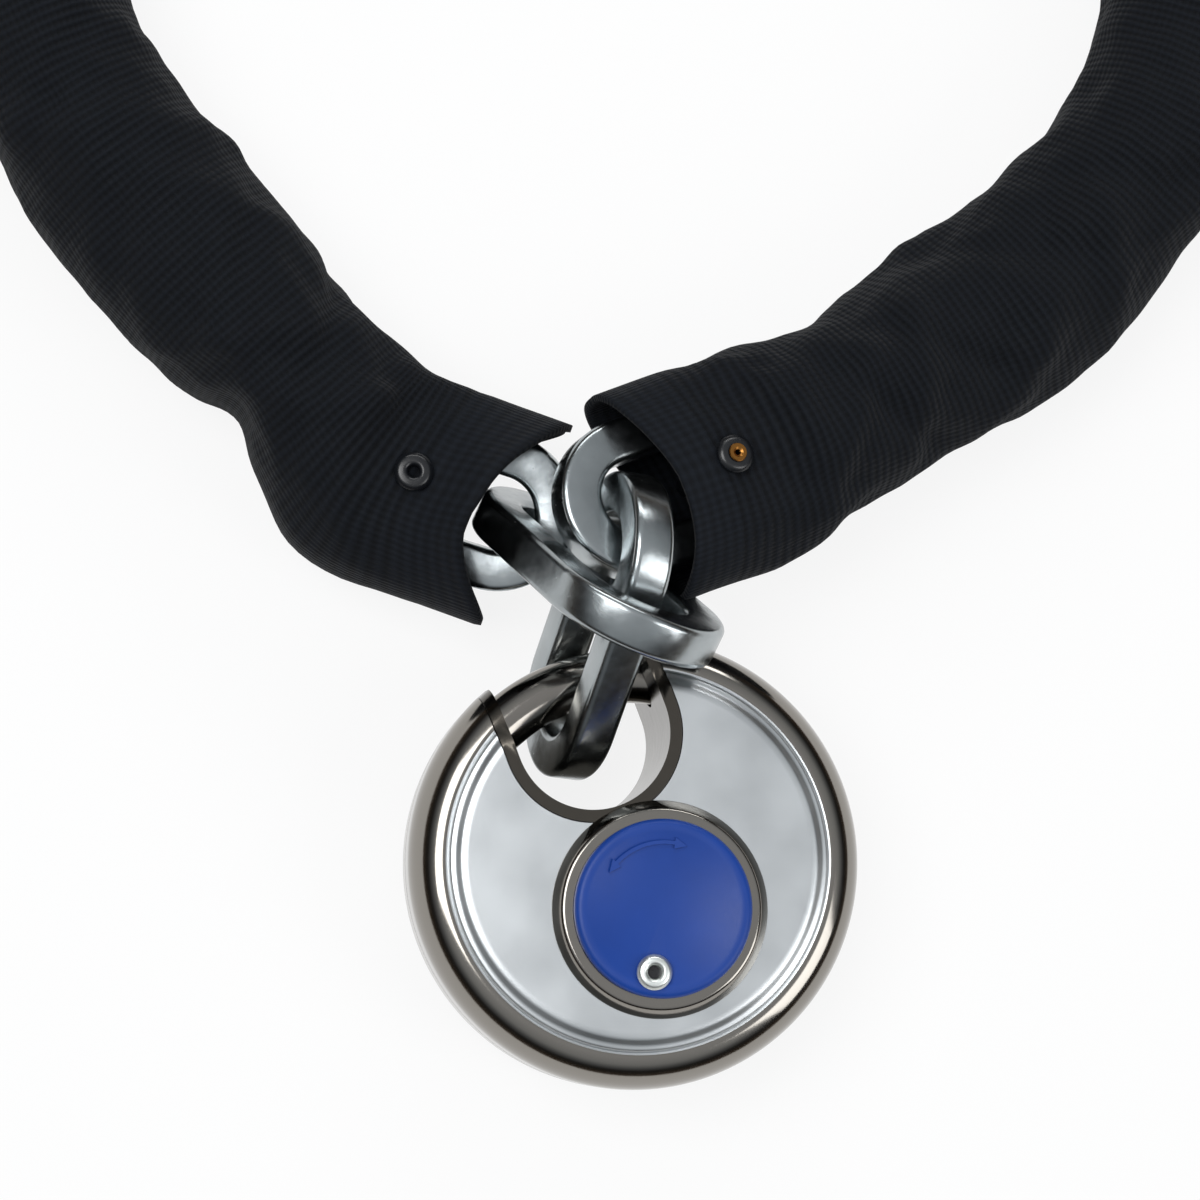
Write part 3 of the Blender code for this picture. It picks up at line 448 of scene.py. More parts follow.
def rounded(points, radius, steps=4):
    """An open outline with each inner corner replaced by a small curve."""
    result = [points[0]]
    for before, corner, after in zip(points, points[1:], points[2:]):
        corner, before, after = Vector(corner), Vector(before), Vector(after)
        reach = min(radius, (before - corner).length * 0.45, (after - corner).length * 0.45)
        start = corner + (before - corner).normalized() * reach
        end = corner + (after - corner).normalized() * reach
        for step in range(steps + 1):
            t = step / steps
            result.append(tuple(start * (1 - t) ** 2 + corner * 2 * t * (1 - t) + end * t ** 2))
    return result + [points[-1]]


def arc(radius, start, end, steps, centre=(0, 0)):
    """Points on an arc whose angles run clockwise from +Y."""
    turns = [start + (end - start) * step / steps for step in range(steps + 1)]
    return [(centre[0] + radius * math.sin(turn), centre[1] + radius * math.cos(turn)) for turn in turns]


def oval(middle, reach, steps, first=0):
    """A quarter of an ellipse, from straight out to straight up."""
    turns = [RIGHT_ANGLE * step / steps for step in range(first, steps + 1)]
    return [(middle[0] + reach[0] * math.cos(turn), middle[1] + reach[1] * math.sin(turn)) for turn in turns]


def upright_prism(outline, bottom, top):
    bm = bmesh.new()
    face = bm.faces.new([bm.verts.new((x, y, bottom)) for x, y in outline])
    raised = bmesh.ops.extrude_face_region(bm, geom=[face])["geom"]
    upper = [part for part in raised if isinstance(part, bmesh.types.BMVert)]
    bmesh.ops.translate(bm, vec=(0, 0, top - bottom), verts=upper)
    bmesh.ops.recalc_face_normals(bm, faces=bm.faces)
    return bm


def cut_with(piece, tool_bm, operation="DIFFERENCE"):
    """Cuts a piece with a closed tool and keeps the result as its mesh."""
    mesh = bpy.data.meshes.new("tool")
    bmesh.ops.recalc_face_normals(tool_bm, faces=tool_bm.faces)
    tool_bm.to_mesh(mesh)
    tool_bm.free()
    tool = bpy.data.objects.new("tool", mesh)
    bpy.context.scene.collection.objects.link(tool)
    cut = piece.modifiers.new("cut", "BOOLEAN")
    cut.operation = operation
    cut.solver = "EXACT"
    cut.object = tool
    done = bpy.data.meshes.new_from_object(piece.evaluated_get(bpy.context.evaluated_depsgraph_get()))
    piece.modifiers.clear()
    old = piece.data
    piece.data = done
    done.name = old.name
    bpy.data.meshes.remove(old)
    bpy.data.objects.remove(tool)
    done.shade_smooth()
    done.set_sharp_from_angle(angle=math.radians(32))


def soften_edges(piece, name, width, segments, angle):
    edge = piece.modifiers.new(name, "BEVEL")
    edge.width = width
    edge.segments = segments
    edge.limit_method = "ANGLE"
    edge.angle_limit = math.radians(angle)


# Padlock

def throat_outline(radius):
    bottom = arc(radius, RIGHT_ANGLE, 3 * RIGHT_ANGLE, 72, (0, THROAT_OFFSET))
    return [(radius, THROAT_LENGTH)] + bottom + [(-radius, THROAT_LENGTH)]


def shell_outline(side):
    """Outer and inner outline of one pressed half, from its parting line over the rim and face and back."""
    step, shoulder = STEP_RADIUS, SHOULDER_HEIGHT
    rim = oval((step, RIM_HEIGHT), (LOCK_RADIUS - step, shoulder - RIM_HEIGHT), 16)
    face = [(step, shoulder), (step - 0.25 * MM, shoulder - 0.12 * MM),
            (step - 0.55 * MM, shoulder + 0.5 * MM), (24.2 * MM, shoulder + 0.62 * MM),
            (23.4 * MM, MID - 0.12 * MM), (22.7 * MM, MID), (0, MID)]
    outer = [(LOCK_RADIUS, PARTING_GAP)] + rim[:-1] + rounded(face, 0.28 * MM)
    inner = [(0, MID - SHELL_WALL), (22 * MM, MID - SHELL_WALL), (24.4 * MM, shoulder - SHELL_WALL),
             (28.4 * MM, 7.2 * MM), (LOCK_RADIUS - SHELL_WALL, RIM_HEIGHT),
             (LOCK_RADIUS - SHELL_WALL, PARTING_GAP)]
    return [(radius, MID + side * height) for radius, height in outer + inner + outer[:1]]


def make_shell(name, node, side):
    """One pressed half with its throat cut out: the bright face finish inside the step, and round the rim the
    polished finish, whose darker, warmer colour is a painted dark reflection.
    """
    looks = finishes()
    shell = finished_piece(name, turned(shell_outline(side), 192), [looks["face"], looks["rim"]], "padlock",
                           [node], 24)
    throat = throat_outline(THROAT_RADIUS + LINER_WALL + LINER_PLAY)
    cut_with(shell, upright_prism(throat, MID - 17 * MM, MID + 18 * MM))
    if side > 0:
        hole = [(0, MID), (BOSS_HOLE, MID), (BOSS_HOLE, 30 * MM), (0, 30 * MM)]
        cut_with(shell, turned(hole, 96, PLUG_CENTRE))
    for face in shell.data.polygons:
        face.material_index = int(face.center.xy.length > BRIGHT_RADIUS)
    shell.data.transform(Matrix.Rotation(LOCK_TURN, 4, "Z"))


class CHAINLOCK_OT_shells(bpy.types.Operator):
    """Make the two pressed halves of the padlock"""

    bl_idname = "chain_lock.shells"
    bl_label = "Padlock Shells"

    def execute(self, context):
        make_shell("front_half", "lock_front_shell", 1)
        make_shell("rear_half", "lock_rear_shell", -1)
        return {"FINISHED"}


class CHAINLOCK_OT_throat(bpy.types.Operator):
    """Make the rolled lip that lines the throat"""

    bl_idname = "chain_lock.throat"
    bl_label = "Throat Lip"

    def execute(self, context):
        wall = throat_outline(THROAT_RADIUS + LINER_WALL) + throat_outline(THROAT_RADIUS)[::-1]
        # The liner takes the lip finish, painted dark as the shade inside the throat.
        liner = finished_piece("throat_lip", upright_prism(wall, MID - 13 * MM, MID + 13 * MM),
                               [finishes()["lip"]], "padlock", ["throat_liner"])
        # The room inside the rim: the liner keeps only what lies in it
        crown = [(LOCK_RADIUS, 1.2 * MM), (LOCK_RADIUS - 0.14 * MM, MID - 7.4 * MM)]
        crown += oval((25.5 * MM, 4.6 * MM), (4.36 * MM, 6.3 * MM), 12, 1)
        crown += [(23.2 * MM, MID + LIP_PROUD), (0, MID + LIP_PROUD)]
        upper = [(radius, MID + height) for radius, height in crown]
        lower = [(radius, MID - height) for radius, height in reversed(crown)]
        cut_with(liner, turned(lower + upper, 128), "INTERSECT")
        reach = SHACKLE_RADIUS + SHACKLE_PLAY
        turns = [math.tau * step / 32 for step in range(33)]
        bore = [(SHACKLE_RING + reach * math.cos(turn), MID + reach * math.sin(turn)) for turn in turns]
        cut_with(liner, turned(bore, 144))
        soften_edges(liner, "rolled edge", LIP_ROUND, 3, 50)
        liner.data.transform(Matrix.Rotation(LOCK_TURN, 4, "Z"))
        return {"FINISHED"}


class CHAINLOCK_OT_shackle(bpy.types.Operator):
    """Make the curved shackle bar"""

    bl_idname = "chain_lock.shackle"
    bl_label = "Shackle"

    def execute(self, context):
        bm = bmesh.new()
        rod = bmesh.ops.create_circle(bm, cap_ends=True, segments=40, radius=SHACKLE_RADIUS)["verts"]
        stand = Matrix.Translation((SHACKLE_RING, 0, MID)) @ Matrix.Rotation(RIGHT_ANGLE, 4, "X")
        bmesh.ops.transform(bm, matrix=stand, verts=rod)
        bmesh.ops.rotate(bm, matrix=Matrix.Rotation(RIGHT_ANGLE - SHACKLE_NOSE, 3, "Z"), verts=rod)
        bmesh.ops.spin(bm, geom=bm.verts[:] + bm.edges[:] + bm.faces[:], cent=(0, 0, 0), axis=(0, 0, -1),
                       angle=SHACKLE_TAIL - SHACKLE_NOSE, steps=120)
        turn_to_lock(bm)
        shackle = finished_piece("shackle_bar", bm, [finishes()["rim"]], "shackle", ["lock_shackle"],
                                 50)
        soften_edges(shackle, "nose edge", NOSE_ROUND, 4, 60)
        return {"FINISHED"}


def make_boss():
    """The steel boss round the plug, with a conical flank."""
    boss = [(9.6 * MM, 23.2 * MM), (BOSS_BORE, 23.2 * MM), (BOSS_BORE, 24.05 * MM), (14.3 * MM, 24.05 * MM),
            (13.35 * MM, 25.5 * MM), (12.9 * MM, 26 * MM), (7.4 * MM, 26 * MM), (7.2 * MM, 25.2 * MM)]
    bm = turned(rounded(boss + boss[:1], 0.3 * MM) + boss[:1], 144, PLUG_CENTRE)
    turn_to_lock(bm)
    finished_piece("cylinder_boss", bm, [finishes()["rim"]], "padlock", ["cylinder_collar"], 40)


def make_cover():
    """The blue keyway cover: a disc with a rounded edge, slightly dished, and a hole for its rivet."""
    outline = [(0, COVER_BASE), (11.2 * MM, COVER_BASE), (COVER_RADIUS, COVER_BASE + 0.3 * MM)]
    outline += oval((COVER_RADIUS - COVER_ROUND, COVER_TOP - COVER_ROUND), (COVER_ROUND, COVER_ROUND), 8)
    outline += [(9.9 * MM, COVER_TOP), (9.7 * MM, COVER_TOP - COVER_DISH), (0, COVER_TOP - COVER_DISH)]
    cover = finished_piece("blue_cover", turned(outline, 144, PLUG_CENTRE), [finishes()["cover"]], "key_cover",
                           ["keyway_cover"])
    hole = [(0, 20 * MM), (RIVET_HOLE, 20 * MM), (RIVET_HOLE, 35 * MM), (0, 35 * MM)]
    cut_with(cover, turned(hole, 48, RIVET_CENTRE))
    cover.data.transform(Matrix.Rotation(LOCK_TURN, 4, "Z"))


def make_arrow(height):
    """The two-headed arrow that shows which way the key turns, raised on the cover."""

    def spot(radius, turn):
        return arc(radius, turn, turn, 1, PLUG_CENTRE)[0]

    inner, outer = ARROW_RING - ARROW_HEAD, ARROW_RING + ARROW_HEAD
    arrow = arc(ARROW_RING + ARROW_HALF_WIDTH, ARROW_START, ARROW_END, 24, PLUG_CENTRE)
    arrow += [spot(outer, ARROW_END), spot(ARROW_RING, ARROW_END + ARROW_TIP), spot(inner, ARROW_END)]
    arrow += arc(ARROW_RING - ARROW_HALF_WIDTH, ARROW_END, ARROW_START, 24, PLUG_CENTRE)
    arrow += [spot(inner, ARROW_START), spot(ARROW_RING, ARROW_START - ARROW_TIP), spot(outer, ARROW_START)]
    bm = upright_prism(arrow, COVER_TOP - 0.2 * MM, COVER_TOP - COVER_DISH + height)
    turn_to_lock(bm)
    finished_piece("turning_arrow", bm, [finishes()["cover"]], "key_cover")


def make_cover_rivet():
    """The hollow rivet that the cover turns on, and a black disc in its bore as painted shade."""
    looks = finishes()
    rivet = [(RIVET_BORE, 22.5 * MM), (1.35 * MM, 22.5 * MM), (1.35 * MM, 28.55 * MM), (2.3 * MM, 28.55 * MM),
             (2.35 * MM, 28.9 * MM), (1.9 * MM, 29.4 * MM), (1.3 * MM, 29.5 * MM), (0.9 * MM, 29.2 * MM),
             (RIVET_BORE, 28.4 * MM)]
    bm = turned(rounded(rivet + rivet[:1], 0.2 * MM) + rivet[:1], 64, RIVET_CENTRE)
    turn_to_lock(bm)
    finished_piece("hollow_rivet", bm, [looks["rivet"]], "padlock", ["cover_rivet"], 60)
    # A black disc sits in the bore: painted shade at the bottom of the hollow rivet.
    radius = RIVET_BORE - 0.02 * MM
    bottom = [(0, 28 * MM), (radius, 28 * MM), (radius, 27.6 * MM), (0, 27.6 * MM)]
    bm = turned(bottom, 24, RIVET_CENTRE)
    turn_to_lock(bm)
    finished_piece("rivet_bore_shade_disc", bm, [looks["nylon"]], "padlock")


class CHAINLOCK_OT_cylinder(bpy.types.Operator):
    """Make the steel boss, the blue keyway cover with its turning arrow, and the hollow rivet"""

    bl_idname = "chain_lock.cylinder"
    bl_label = "Boss and Keyway Cover"

    def execute(self, context):
        make_boss()
        make_cover()
        make_arrow(context.scene.chain_lock_sizes.mark_height)
        make_cover_rivet()
        return {"FINISHED"}


class CHAINLOCK_OT_inner_parts(bpy.types.Operator):
    """Finish the pieces inside the padlock"""

    bl_idname = "chain_lock.inner_parts"
    bl_label = "Inner Parts"

    def execute(self, context):
        brass = ("cylinder_housing", "cylinder_plug", "key_pin")
        steel = ("shackle_gear_sector", "shackle_carrier_pin", "drive_pinion", "pinion_screw", "guide_strip",
                 "driver_pin", "pin_spring")
        for name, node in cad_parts.items():
            if name.startswith(brass):
                paint(node, finishes()["brass"])
            elif name.startswith(steel):
                paint(node, finishes()["steel"])
        return {"FINISHED"}


# Chain

def link_matrix(middle, heading, rise, roll):
    """Place of a link: X along it, Y across its opening, Z through it."""
    heading, rise, roll = math.radians(heading), math.radians(rise), math.radians(roll)
    level = math.cos(rise)
    along = Vector((level * math.cos(heading), level * math.sin(heading), math.sin(rise)))
    side = Vector((math.sin(heading), -math.cos(heading), 0))
    across = side * math.cos(roll) + side.cross(along) * math.sin(roll)
    turn = Matrix((along, across, along.cross(across))).transposed()
    return Matrix.Translation(Vector(middle) * MM) @ turn.to_4x4()


def bar_section():
    """The square bar's section with rounded corners."""
    spot = Vector((LINK_BAR / 2 - LINK_CORNER, LINK_BAR / 2 - LINK_CORNER))
    section = []
    for quarter in range(4):
        corner = Matrix.Rotation(RIGHT_ANGLE * quarter, 2) @ spot
        for step in range(CORNER_STEPS + 1):
            turn = RIGHT_ANGLE * (quarter + step / CORNER_STEPS)
            section.append((corner.x + LINK_CORNER * math.cos(turn), corner.y + LINK_CORNER * math.sin(turn)))
    return section


def link_mesh(length, gap):
    """Square bar bent into a long ring: a half turn, a straight, a half turn and a straight."""
    bm = bmesh.new()
    radius, place = (gap + LINK_BAR) / 2, length / 2 - gap / 2 - LINK_BAR
    ring = [bm.verts.new((place, -radius - y, z)) for y, z in bar_section()]
    live = ring + [bm.edges.new(pair) for pair in zip(ring, ring[1:] + ring[:1])]
    for side in (1, -1):
        spun = bmesh.ops.spin(bm, geom=live, cent=(side * place, 0, 0), axis=(0, 0, 1), angle=math.pi,
                              steps=36)
        edges = [part for part in spun["geom_last"] if isinstance(part, bmesh.types.BMEdge)]
        drawn = bmesh.ops.extrude_edge_only(bm, edges=edges)["geom"]
        moved = [part for part in drawn if isinstance(part, bmesh.types.BMVert)]
        bmesh.ops.translate(bm, verts=moved, vec=(-side * 2 * place, 0, 0))
        live = [part for part in drawn if not isinstance(part, bmesh.types.BMFace)]
    return bm


class CHAINLOCK_OT_links(bpy.types.Operator):
    """Make the links at the two mouths and finish the ones inside the sleeve"""

    bl_idname = "chain_lock.links"
    bl_label = "Chain Links"

    def execute(self, context):
        zinc = finishes()["zinc"]
        for node, (middle, heading, rise, roll, length, gap) in VISIBLE_LINKS.items():
            bm = link_mesh(length * MM, gap * MM)
            bmesh.ops.transform(bm, matrix=link_matrix(middle, heading, rise, roll), verts=bm.verts)
            body = LINK_BODIES.get(node, "sleeved_chain")
            finished_piece(node + "_bar", bm, [zinc], body, [node], 60)
        for name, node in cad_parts.items():
            if name.startswith("chain_link") and name not in VISIBLE_LINKS:
                paint(node, zinc)
        return {"FINISHED"}


# Sleeve

def blend(start, end, share):
    share = max(0.0, min(1.0, share))
    return start + (end - start) * share * share * (3 - 2 * share)


def smooth_route(points, samples=40):
    """A Catmull-Rom curve through the points."""
    ends = [points[0] * 2 - points[1]] + points + [points[-1] * 2 - points[-2]]
    line = []
    for before, start, end, after in zip(ends, ends[1:], ends[2:], ends[3:]):
        for step in range(samples):
            t = step / samples
            line.append(0.5 * (2 * start + (end - before) * t
                               + (2 * before - 5 * start + 4 * end - after) * t ** 2
                               + (3 * start - before - 3 * end + after) * t ** 3))
    return line + [points[-1]]


class Route:
    """The sleeve's middle line, read by the distance along it."""

    def __init__(self):
        loop = arc(LOOP_RADIUS, LOOP_START, LOOP_END, LOOP_STEPS, LOOP_CENTRE)
        points = [Vector(point) * MM for point in LEFT_RUN]
        points += [Vector((x, y, SLEEVE_RADIUS)) for x, y in loop]
        points += [Vector(point) * MM for point in reversed(RIGHT_RUN)]
        self.line = smooth_route(points)
        self.reach = [0.0]
        for start, end in zip(self.line, self.line[1:]):
            self.reach.append(self.reach[-1] + (end - start).length)
        self.length = self.reach[-1]

    def point(self, distance):
        """The point at a distance from the left mouth, on a straight continuation past either mouth."""
        if distance <= 0:
            return self.line[0] + (self.line[1] - self.line[0]).normalized() * distance
        if distance >= self.length:
            return self.line[-1] + (self.line[-1] - self.line[-2]).normalized() * (distance - self.length)
        low, high = 0, len(self.reach) - 1
        while high - low > 1:
            middle = (low + high) // 2
            low, high = (middle, high) if self.reach[middle] < distance else (low, middle)
        share = (distance - self.reach[low]) / (self.reach[high] - self.reach[low])
        return self.line[low].lerp(self.line[high], share)

    def axes(self, distance):
        """Directions along the sleeve, level across it and up from it."""
        along = (self.point(distance + 8 * MM) - self.point(distance - 8 * MM)).normalized()
        side = along.cross(Vector((0, 0, 1))).normalized()
        return along, side, side.cross(along)


def cloth_section(inset):
    """Half width, half height and squareness of the sleeve at a distance inside the nearer mouth."""
    if inset < RIVET_REACH:
        return MOUTH_HALF_WIDTH, RIVET_HALF_HEIGHT, MOUTH_SQUARENESS
    share = (inset - FLARE_START) / FLARE_LENGTH
    body = SLEEVE_RADIUS - 0.2 * MM
    return (blend(MOUTH_HALF_WIDTH, body, share / 1.5), blend(RIVET_HALF_HEIGHT, body, share),
            blend(MOUTH_SQUARENESS, 1, share / 2))


def fold_height(distance, turn, length):
    """Height of the folds at a place on the cloth: those near the mouths, and a slow crumple all along."""
    total = 0.0
    degrees = math.degrees(turn)
    for inset, shift, flip in ((distance, 0, 1), (length - distance, 3, -1)):
        for at, fold_turn, slant, half_length, half_width, height in FOLDS:
            middle = fold_turn if flip > 0 else 180 - fold_turn * 0.9
            across = (degrees - middle) * DEGREE_OF_SLEEVE
            away = inset / MM - at - shift
            along = away * math.cos(slant) + across * math.sin(slant) * flip
            over = -away * math.sin(slant) * flip + across * math.cos(slant)
            total += height * math.exp(-(over / half_length) ** 2 - (along / half_width) ** 2)
    spot = Vector((distance / MM * 0.09, math.cos(turn) * 1.5, math.sin(turn) * 1.5))
    return total + 1.1 * noise.noise(spot) + 0.5 * noise.noise(spot * 2.3 + Vector((7, 3, 1)))


def mouth_reach(is_left, turn):
    """How far the cloth's edge runs past the mouth of the CAD sleeve at a turn round it, in millimetres."""
    up, side = math.sin(turn), math.cos(turn)
    if not is_left:
        return 0.6 + max(0, up) * 1.6 + 4.5 * max(0, -side) ** 2 + max(0, side) * 5.0
    far, near = max(0, (side + 0.15) / 1.15) ** 1.2, max(0, (-side - 0.3) / 0.7) ** 1.4
    return 3.2 + 9 * far + 6.5 * near if up > 0 else 1.0 + 10.5 * far ** 2 + 8 * near ** 2


def cloth_point(route, distance, turn, fold_depth):
    """A point of the sleeve's cloth, at a distance from the left mouth and a turn round the sleeve."""
    is_left = distance < route.length / 2
    inset = min(distance, route.length - distance)
    reach = distance
    if inset < LIP_LENGTH:
        past = mouth_reach(is_left, turn) * MM * (1 - inset / LIP_LENGTH) ** 1.5
        reach = distance - past if is_left else distance + past
    width, height, power = cloth_section(inset)
    across = math.copysign(abs(math.cos(turn)) ** power, math.cos(turn))
    up = math.copysign(abs(math.sin(turn)) ** power, math.sin(turn))

    # The links inside lie flat and stand upright by turns, and the cloth follows them a little
    flatness = math.cos(math.pi * (inset - 3 * MM) / LINK_REPEAT) * blend(0, 0.7, inset / (30 * MM)) * MM
    calm = blend(0.15, 1, (inset - 3 * MM) / (10 * MM))
    swell = fold_height(distance, turn, route.length) * calm * fold_depth / 1.5
    wide = width + flatness + swell
    tall = height - 0.7 * flatness + swell
    if is_left and across < 0:
        wide += across * 3.2 * MM * math.exp(-((inset / MM - 28) / 5) ** 2)
    if is_left and up > 0:
        tall += RAISED_LIP * max(0, 1 - inset / RAISED_LENGTH) ** 1.4 * (1 - across ** 2)
    place = route.point(reach)
    side, lift = route.axes(reach)[1:]
    if up <= 0:
        tall = min(tall, place.z - FLOOR_GAP)
    return place + side * wide * across + lift * tall * up


class CHAINLOCK_OT_sleeve(bpy.types.Operator):
    """Make the woven sleeve with its folds, ribs and hemmed mouths"""

    bl_idname = "chain_lock.sleeve"
    bl_label = "Sleeve"

    def execute(self, context):
        sizes, looks, route = context.scene.chain_lock_sizes, finishes(), Route()
        bm = bmesh.new()
        cloth_map = bm.loops.layers.uv.new("cloth")
        count = int(route.length / CLOTH_PITCH)
        marks = [route.length * station / count for station in range(count + 1)]
        turns = [math.tau * corner / CLOTH_SIDES for corner in range(CLOTH_SIDES)]
        rings = []
        for mark in marks:
            rings.append([bm.verts.new(cloth_point(route, mark, turn, sizes.fold_depth)) for turn in turns])
        for near, far, near_ring, far_ring in zip(marks, marks[1:], rings, rings[1:]):
            in_hem = min(near, route.length - near) < HEM_WIDTH
            for corner in range(CLOTH_SIDES):
                after = (corner + 1) % CLOTH_SIDES
                face = bm.faces.new((near_ring[corner], near_ring[after], far_ring[after], far_ring[corner]))
                face.material_index = int(in_hem)
                left = SLEEVE_GIRTH / MM * corner / CLOTH_SIDES
                right = SLEEVE_GIRTH / MM * (corner + 1) / CLOTH_SIDES
                spots = ((left, near / MM), (right, near / MM), (right, far / MM), (left, far / MM))
                for loop, spot in zip(face.loops, spots):
                    loop[cloth_map].uv = spot
        bmesh.ops.recalc_face_normals(bm, faces=bm.faces)
        sleeve = finished_piece("woven_sleeve", bm, [looks["cloth"], looks["hem"]], "sleeved_chain",
                                ["textile_sleeve"], 80, clean=False)
        wall = sleeve.modifiers.new("cloth thickness", "SOLIDIFY")
        wall.thickness = sizes.cloth_thickness
        wall.offset = -1
        return {"FINISHED"}


class CHAINLOCK_OT_sleeve_rivets(bpy.types.Operator):
    """Make the moulded rivets at the sleeve's two ends, the right one with a brass eyelet"""

    bl_idname = "chain_lock.sleeve_rivets"
    bl_label = "Sleeve Rivets"

    def execute(self, context):
        looks, route = finishes(), Route()
        seat = RIVET_HALF_HEIGHT + 0.35 * MM
        head, shank, bore = 2.6 * MM, 1.5 * MM, 0.8 * MM
        rivet = [(bore, -seat - 1 * MM), (2.2 * MM, -seat - 1 * MM), (head, -seat - 0.5 * MM), (head, -seat),
                 (shank, -seat), (shank, seat), (head, seat), (head, seat + 0.4 * MM),
                 (2.1 * MM, seat + 0.9 * MM), (1.2 * MM, seat + 1 * MM), (bore, seat + 0.7 * MM)]
        eyelet = [(0.35 * MM, seat + 0.5 * MM), (0.78 * MM, seat + 0.5 * MM), (0.85 * MM, seat + 1.1 * MM),
                  (1.25 * MM, seat + 1.15 * MM), (1.15 * MM, seat + 1.3 * MM), (0.7 * MM, seat + 1.3 * MM),
                  (0.4 * MM, seat + 1.1 * MM)]
        distances = {"sleeve_rivet_left": RIVET_REACH, "sleeve_rivet_right": route.length - RIVET_REACH}
        for node, distance in distances.items():
            along, side, lift = route.axes(distance)
            turn = Matrix((side, along, lift)).transposed().to_4x4()
            place = Matrix.Translation(route.point(distance)) @ turn
            bm = turned(rounded(rivet + rivet[:1], 0.3 * MM) + rivet[:1], 48)
            bmesh.ops.transform(bm, matrix=place, verts=bm.verts)
            finished_piece(node + "_head", bm, [looks["nylon"]], "sleeved_chain", [node], 55)
        bm = turned(eyelet + eyelet[:1], 40)
        bmesh.ops.transform(bm, matrix=place, verts=bm.verts)
        finished_piece("sleeve_eyelet", bm, [looks["eyelet"]], "sleeved_chain")
        return {"FINISHED"}


# Stage

def add_lamp(name, place, aim, size, power):
    """A soft rectangular lamp that points at a place near the throat."""
    data = bpy.data.lights.new(name, "AREA")
    data.shape = "RECTANGLE"
    data.size, data.size_y = size
    data.energy = power
    lamp = bpy.data.objects.new(name, data)
    lamp.location = place
    lamp.rotation_euler = (Vector(aim) - Vector(place)).to_track_quat("-Z", "Y").to_euler()
    bpy.context.scene.collection.objects.link(lamp)


def white_card():
    """Matt white card: it keeps the object's shadow, and is close to white where it is seen or mirrored."""
    card = bpy.data.materials.new("matt white card")
    card.use_nodes = True
    nodes = card.node_tree.nodes
    nodes["Principled BSDF"].inputs["Base Color"].default_value = (0.86, 0.86, 0.86, 1)
    nodes["Principled BSDF"].inputs["Roughness"].default_value = 0.9
    path = add_node(card, "ShaderNodeLightPath", {})
    mirrored = add_node(card, "ShaderNodeMath", {0: (path, "Is Glossy Ray"), 1: (path, "Is Transmission Ray")},
                        operation="MAXIMUM")
    seen = add_node(card, "ShaderNodeMath", {0: (path, "Is Camera Ray"), 1: (mirrored, 0)},
                    operation="MAXIMUM")
    share = add_node(card, "ShaderNodeMath", {0: (seen, 0), 1: 0.86}, operation="MULTIPLY")
    glow = add_node(card, "ShaderNodeEmission", {"Color": (1, 1, 1, 1), "Strength": 1.0})
    both = add_node(card, "ShaderNodeMixShader", {
        0: (share, 0), 1: (nodes["Principled BSDF"], 0), 2: (glow, 0)})
    card.node_tree.links.new(both.outputs[0], nodes["Material Output"].inputs[0])
    return card


def make_floor():
    bm = bmesh.new()
    bmesh.ops.create_grid(bm, x_segments=1, y_segments=1, size=2.5)
    bmesh.ops.translate(bm, verts=bm.verts, vec=(0, 0, -0.05 * MM))
    mesh = bpy.data.meshes.new("floor")
    bm.to_mesh(mesh)
    bm.free()
    mesh.materials.append(white_card())
    floor = bpy.data.objects.new("floor", mesh)
    bpy.context.scene.collection.objects.link(floor)


def make_room():
    """A soft room: warm and dim near the floor, pale overhead, which the polished metal mirrors."""
    world = bpy.data.worlds.new("soft room")
    bpy.context.scene.world = world
    world.use_nodes = True
    direction = add_node(world, "ShaderNodeTexCoord", {})
    split = add_node(world, "ShaderNodeSeparateXYZ", {0: (direction, "Generated")})
    ramp = add_node(world, "ShaderNodeValToRGB", {0: (split, 2)})
    stops = ramp.color_ramp.elements
    stops[0].color = (*linear("#6B5A48"), 1)
    stops[1].color = (0.95, 0.97, 1, 1)
    for position, code in ((0.16, "#4A443E"), (0.34, "#3C3B3A"), (0.52, "#8E9296"), (0.72, "#D9DDE0")):
        stops.new(position).color = (*linear(code), 1)
    background = world.node_tree.nodes["Background"]
    world.node_tree.links.new(ramp.outputs[0], background.inputs["Color"])
    background.inputs["Strength"].default_value = 0.62


def make_camera():
    """The camera, almost straight above, with +Y upwards in its view."""
    data = bpy.data.cameras.new("camera")
    camera = bpy.data.objects.new("camera", data)
    bpy.context.scene.collection.objects.link(camera)
    bpy.context.scene.camera = camera
    away = CAMERA_SIDE.normalized()
    right = (Vector((1, 0, 0)) - away * away.x).normalized()
    up = away.cross(right)
    aim = Vector((0, 0, MID)) + right * CAMERA_AIM[0] + up * CAMERA_AIM[1]
    turn = Matrix((right, up, away)).transposed().to_4x4()
    camera.matrix_world = Matrix.Translation(aim + away * CAMERA_DISTANCE) @ turn
    data.sensor_width = SENSOR_WIDTH
    data.lens = SENSOR_WIDTH * CAMERA_DISTANCE / FRAME_WIDTH
    data.clip_start = 0.01
    data.clip_end = 10


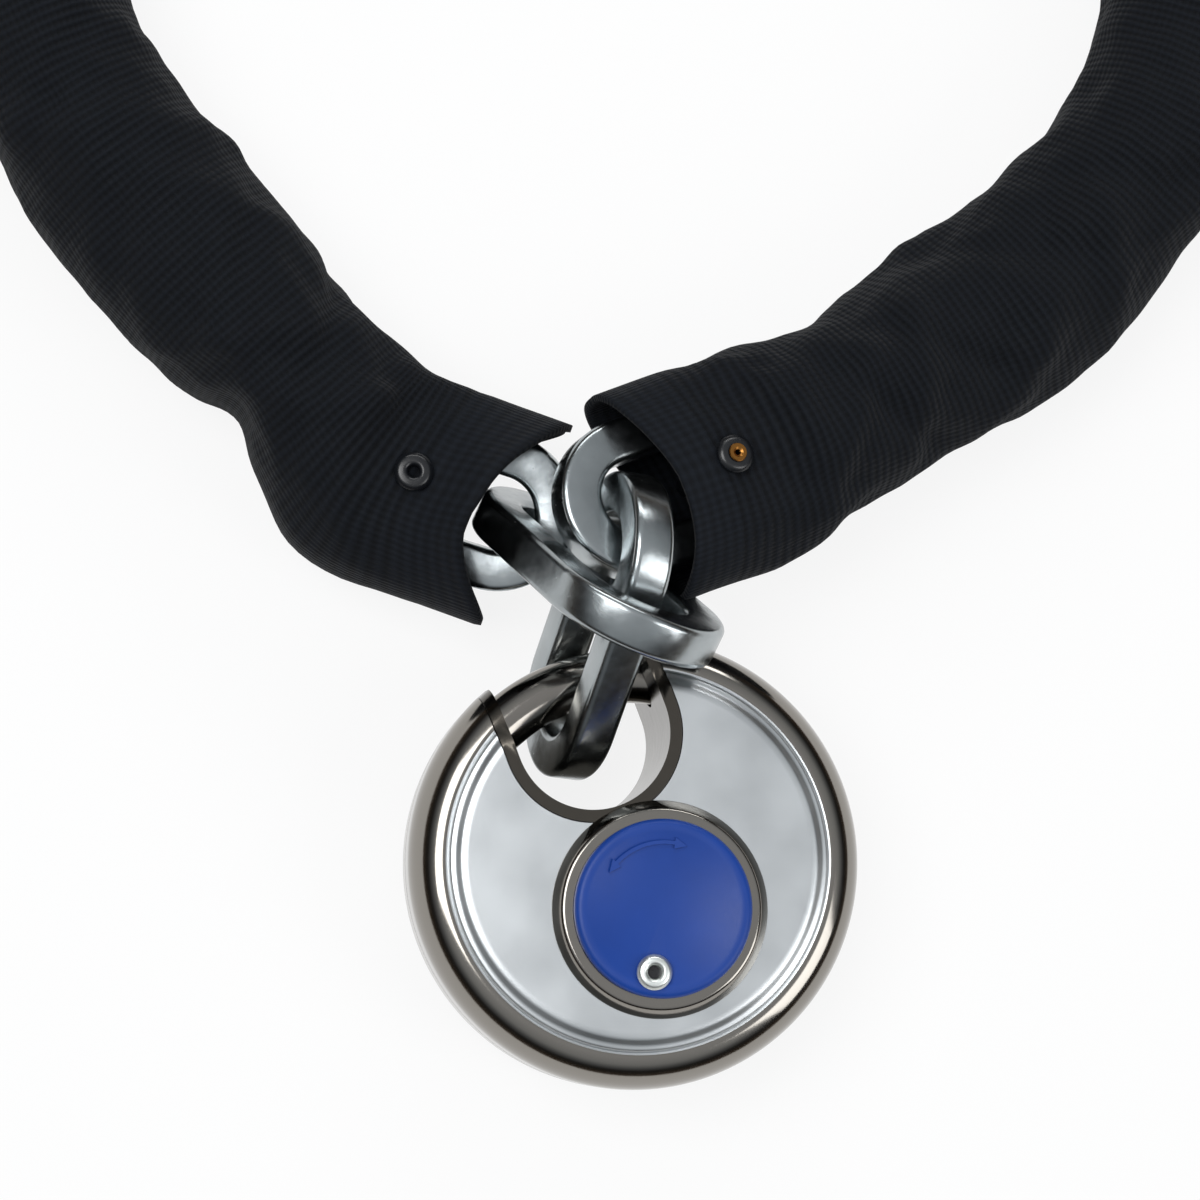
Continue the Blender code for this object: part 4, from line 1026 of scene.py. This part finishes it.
class CHAINLOCK_OT_stage(bpy.types.Operator):
    """Make the pale floor, the soft lights and the camera"""

    bl_idname = "chain_lock.stage"
    bl_label = "Stage"

    def execute(self, context):
        context.scene.view_settings.view_transform = "Standard"
        make_floor()
        make_room()
        add_lamp("key_softbox", (-0.35, 0.1, 0.75), (0, 0.03, 0), (0.45, 0.45), 3.6)
        add_lamp("fill_softbox", (0.5, -0.25, 0.5), (0, 0.03, 0), (0.3, 0.5), 1.6)
        add_lamp("back_strip", (0.1, 0.75, 0.45), (0, 0.05, 0), (0.7, 0.15), 1.8)
        make_camera()
        return {"FINISHED"}


OPERATORS = (CHAINLOCK_OT_shells, CHAINLOCK_OT_throat, CHAINLOCK_OT_shackle, CHAINLOCK_OT_cylinder,
             CHAINLOCK_OT_links, CHAINLOCK_OT_inner_parts, CHAINLOCK_OT_sleeve, CHAINLOCK_OT_sleeve_rivets,
             CHAINLOCK_OT_stage)


class CHAINLOCK_PT_panel(bpy.types.Panel):
    """Sizes, colours and the operators of the chain lock"""

    bl_idname = "CHAINLOCK_PT_panel"
    bl_label = "Chain Lock"
    bl_space_type = "VIEW_3D"
    bl_region_type = "UI"
    bl_category = "Chain Lock"

    def draw(self, context):
        for group in (context.scene.chain_lock_sizes, context.scene.chain_lock_colours):
            box = self.layout.box()
            for name in group.__annotations__:
                box.prop(group, name)
        for operator in OPERATORS:
            self.layout.operator(operator.bl_idname)


CLASSES = (ChainLockSizes, ChainLockColours, *OPERATORS, CHAINLOCK_PT_panel)


def register():
    for item in CLASSES:
        bpy.utils.register_class(item)
    bpy.types.Scene.chain_lock_sizes = PointerProperty(type=ChainLockSizes)
    bpy.types.Scene.chain_lock_colours = PointerProperty(type=ChainLockColours)


def unregister():
    del bpy.types.Scene.chain_lock_sizes
    del bpy.types.Scene.chain_lock_colours
    for item in reversed(CLASSES):
        bpy.utils.unregister_class(item)


def main():
    register()
    for operator in OPERATORS:
        group, name = operator.bl_idname.split(".")
        getattr(getattr(bpy.ops, group), name)()


if __name__ == "__main__":
    main()
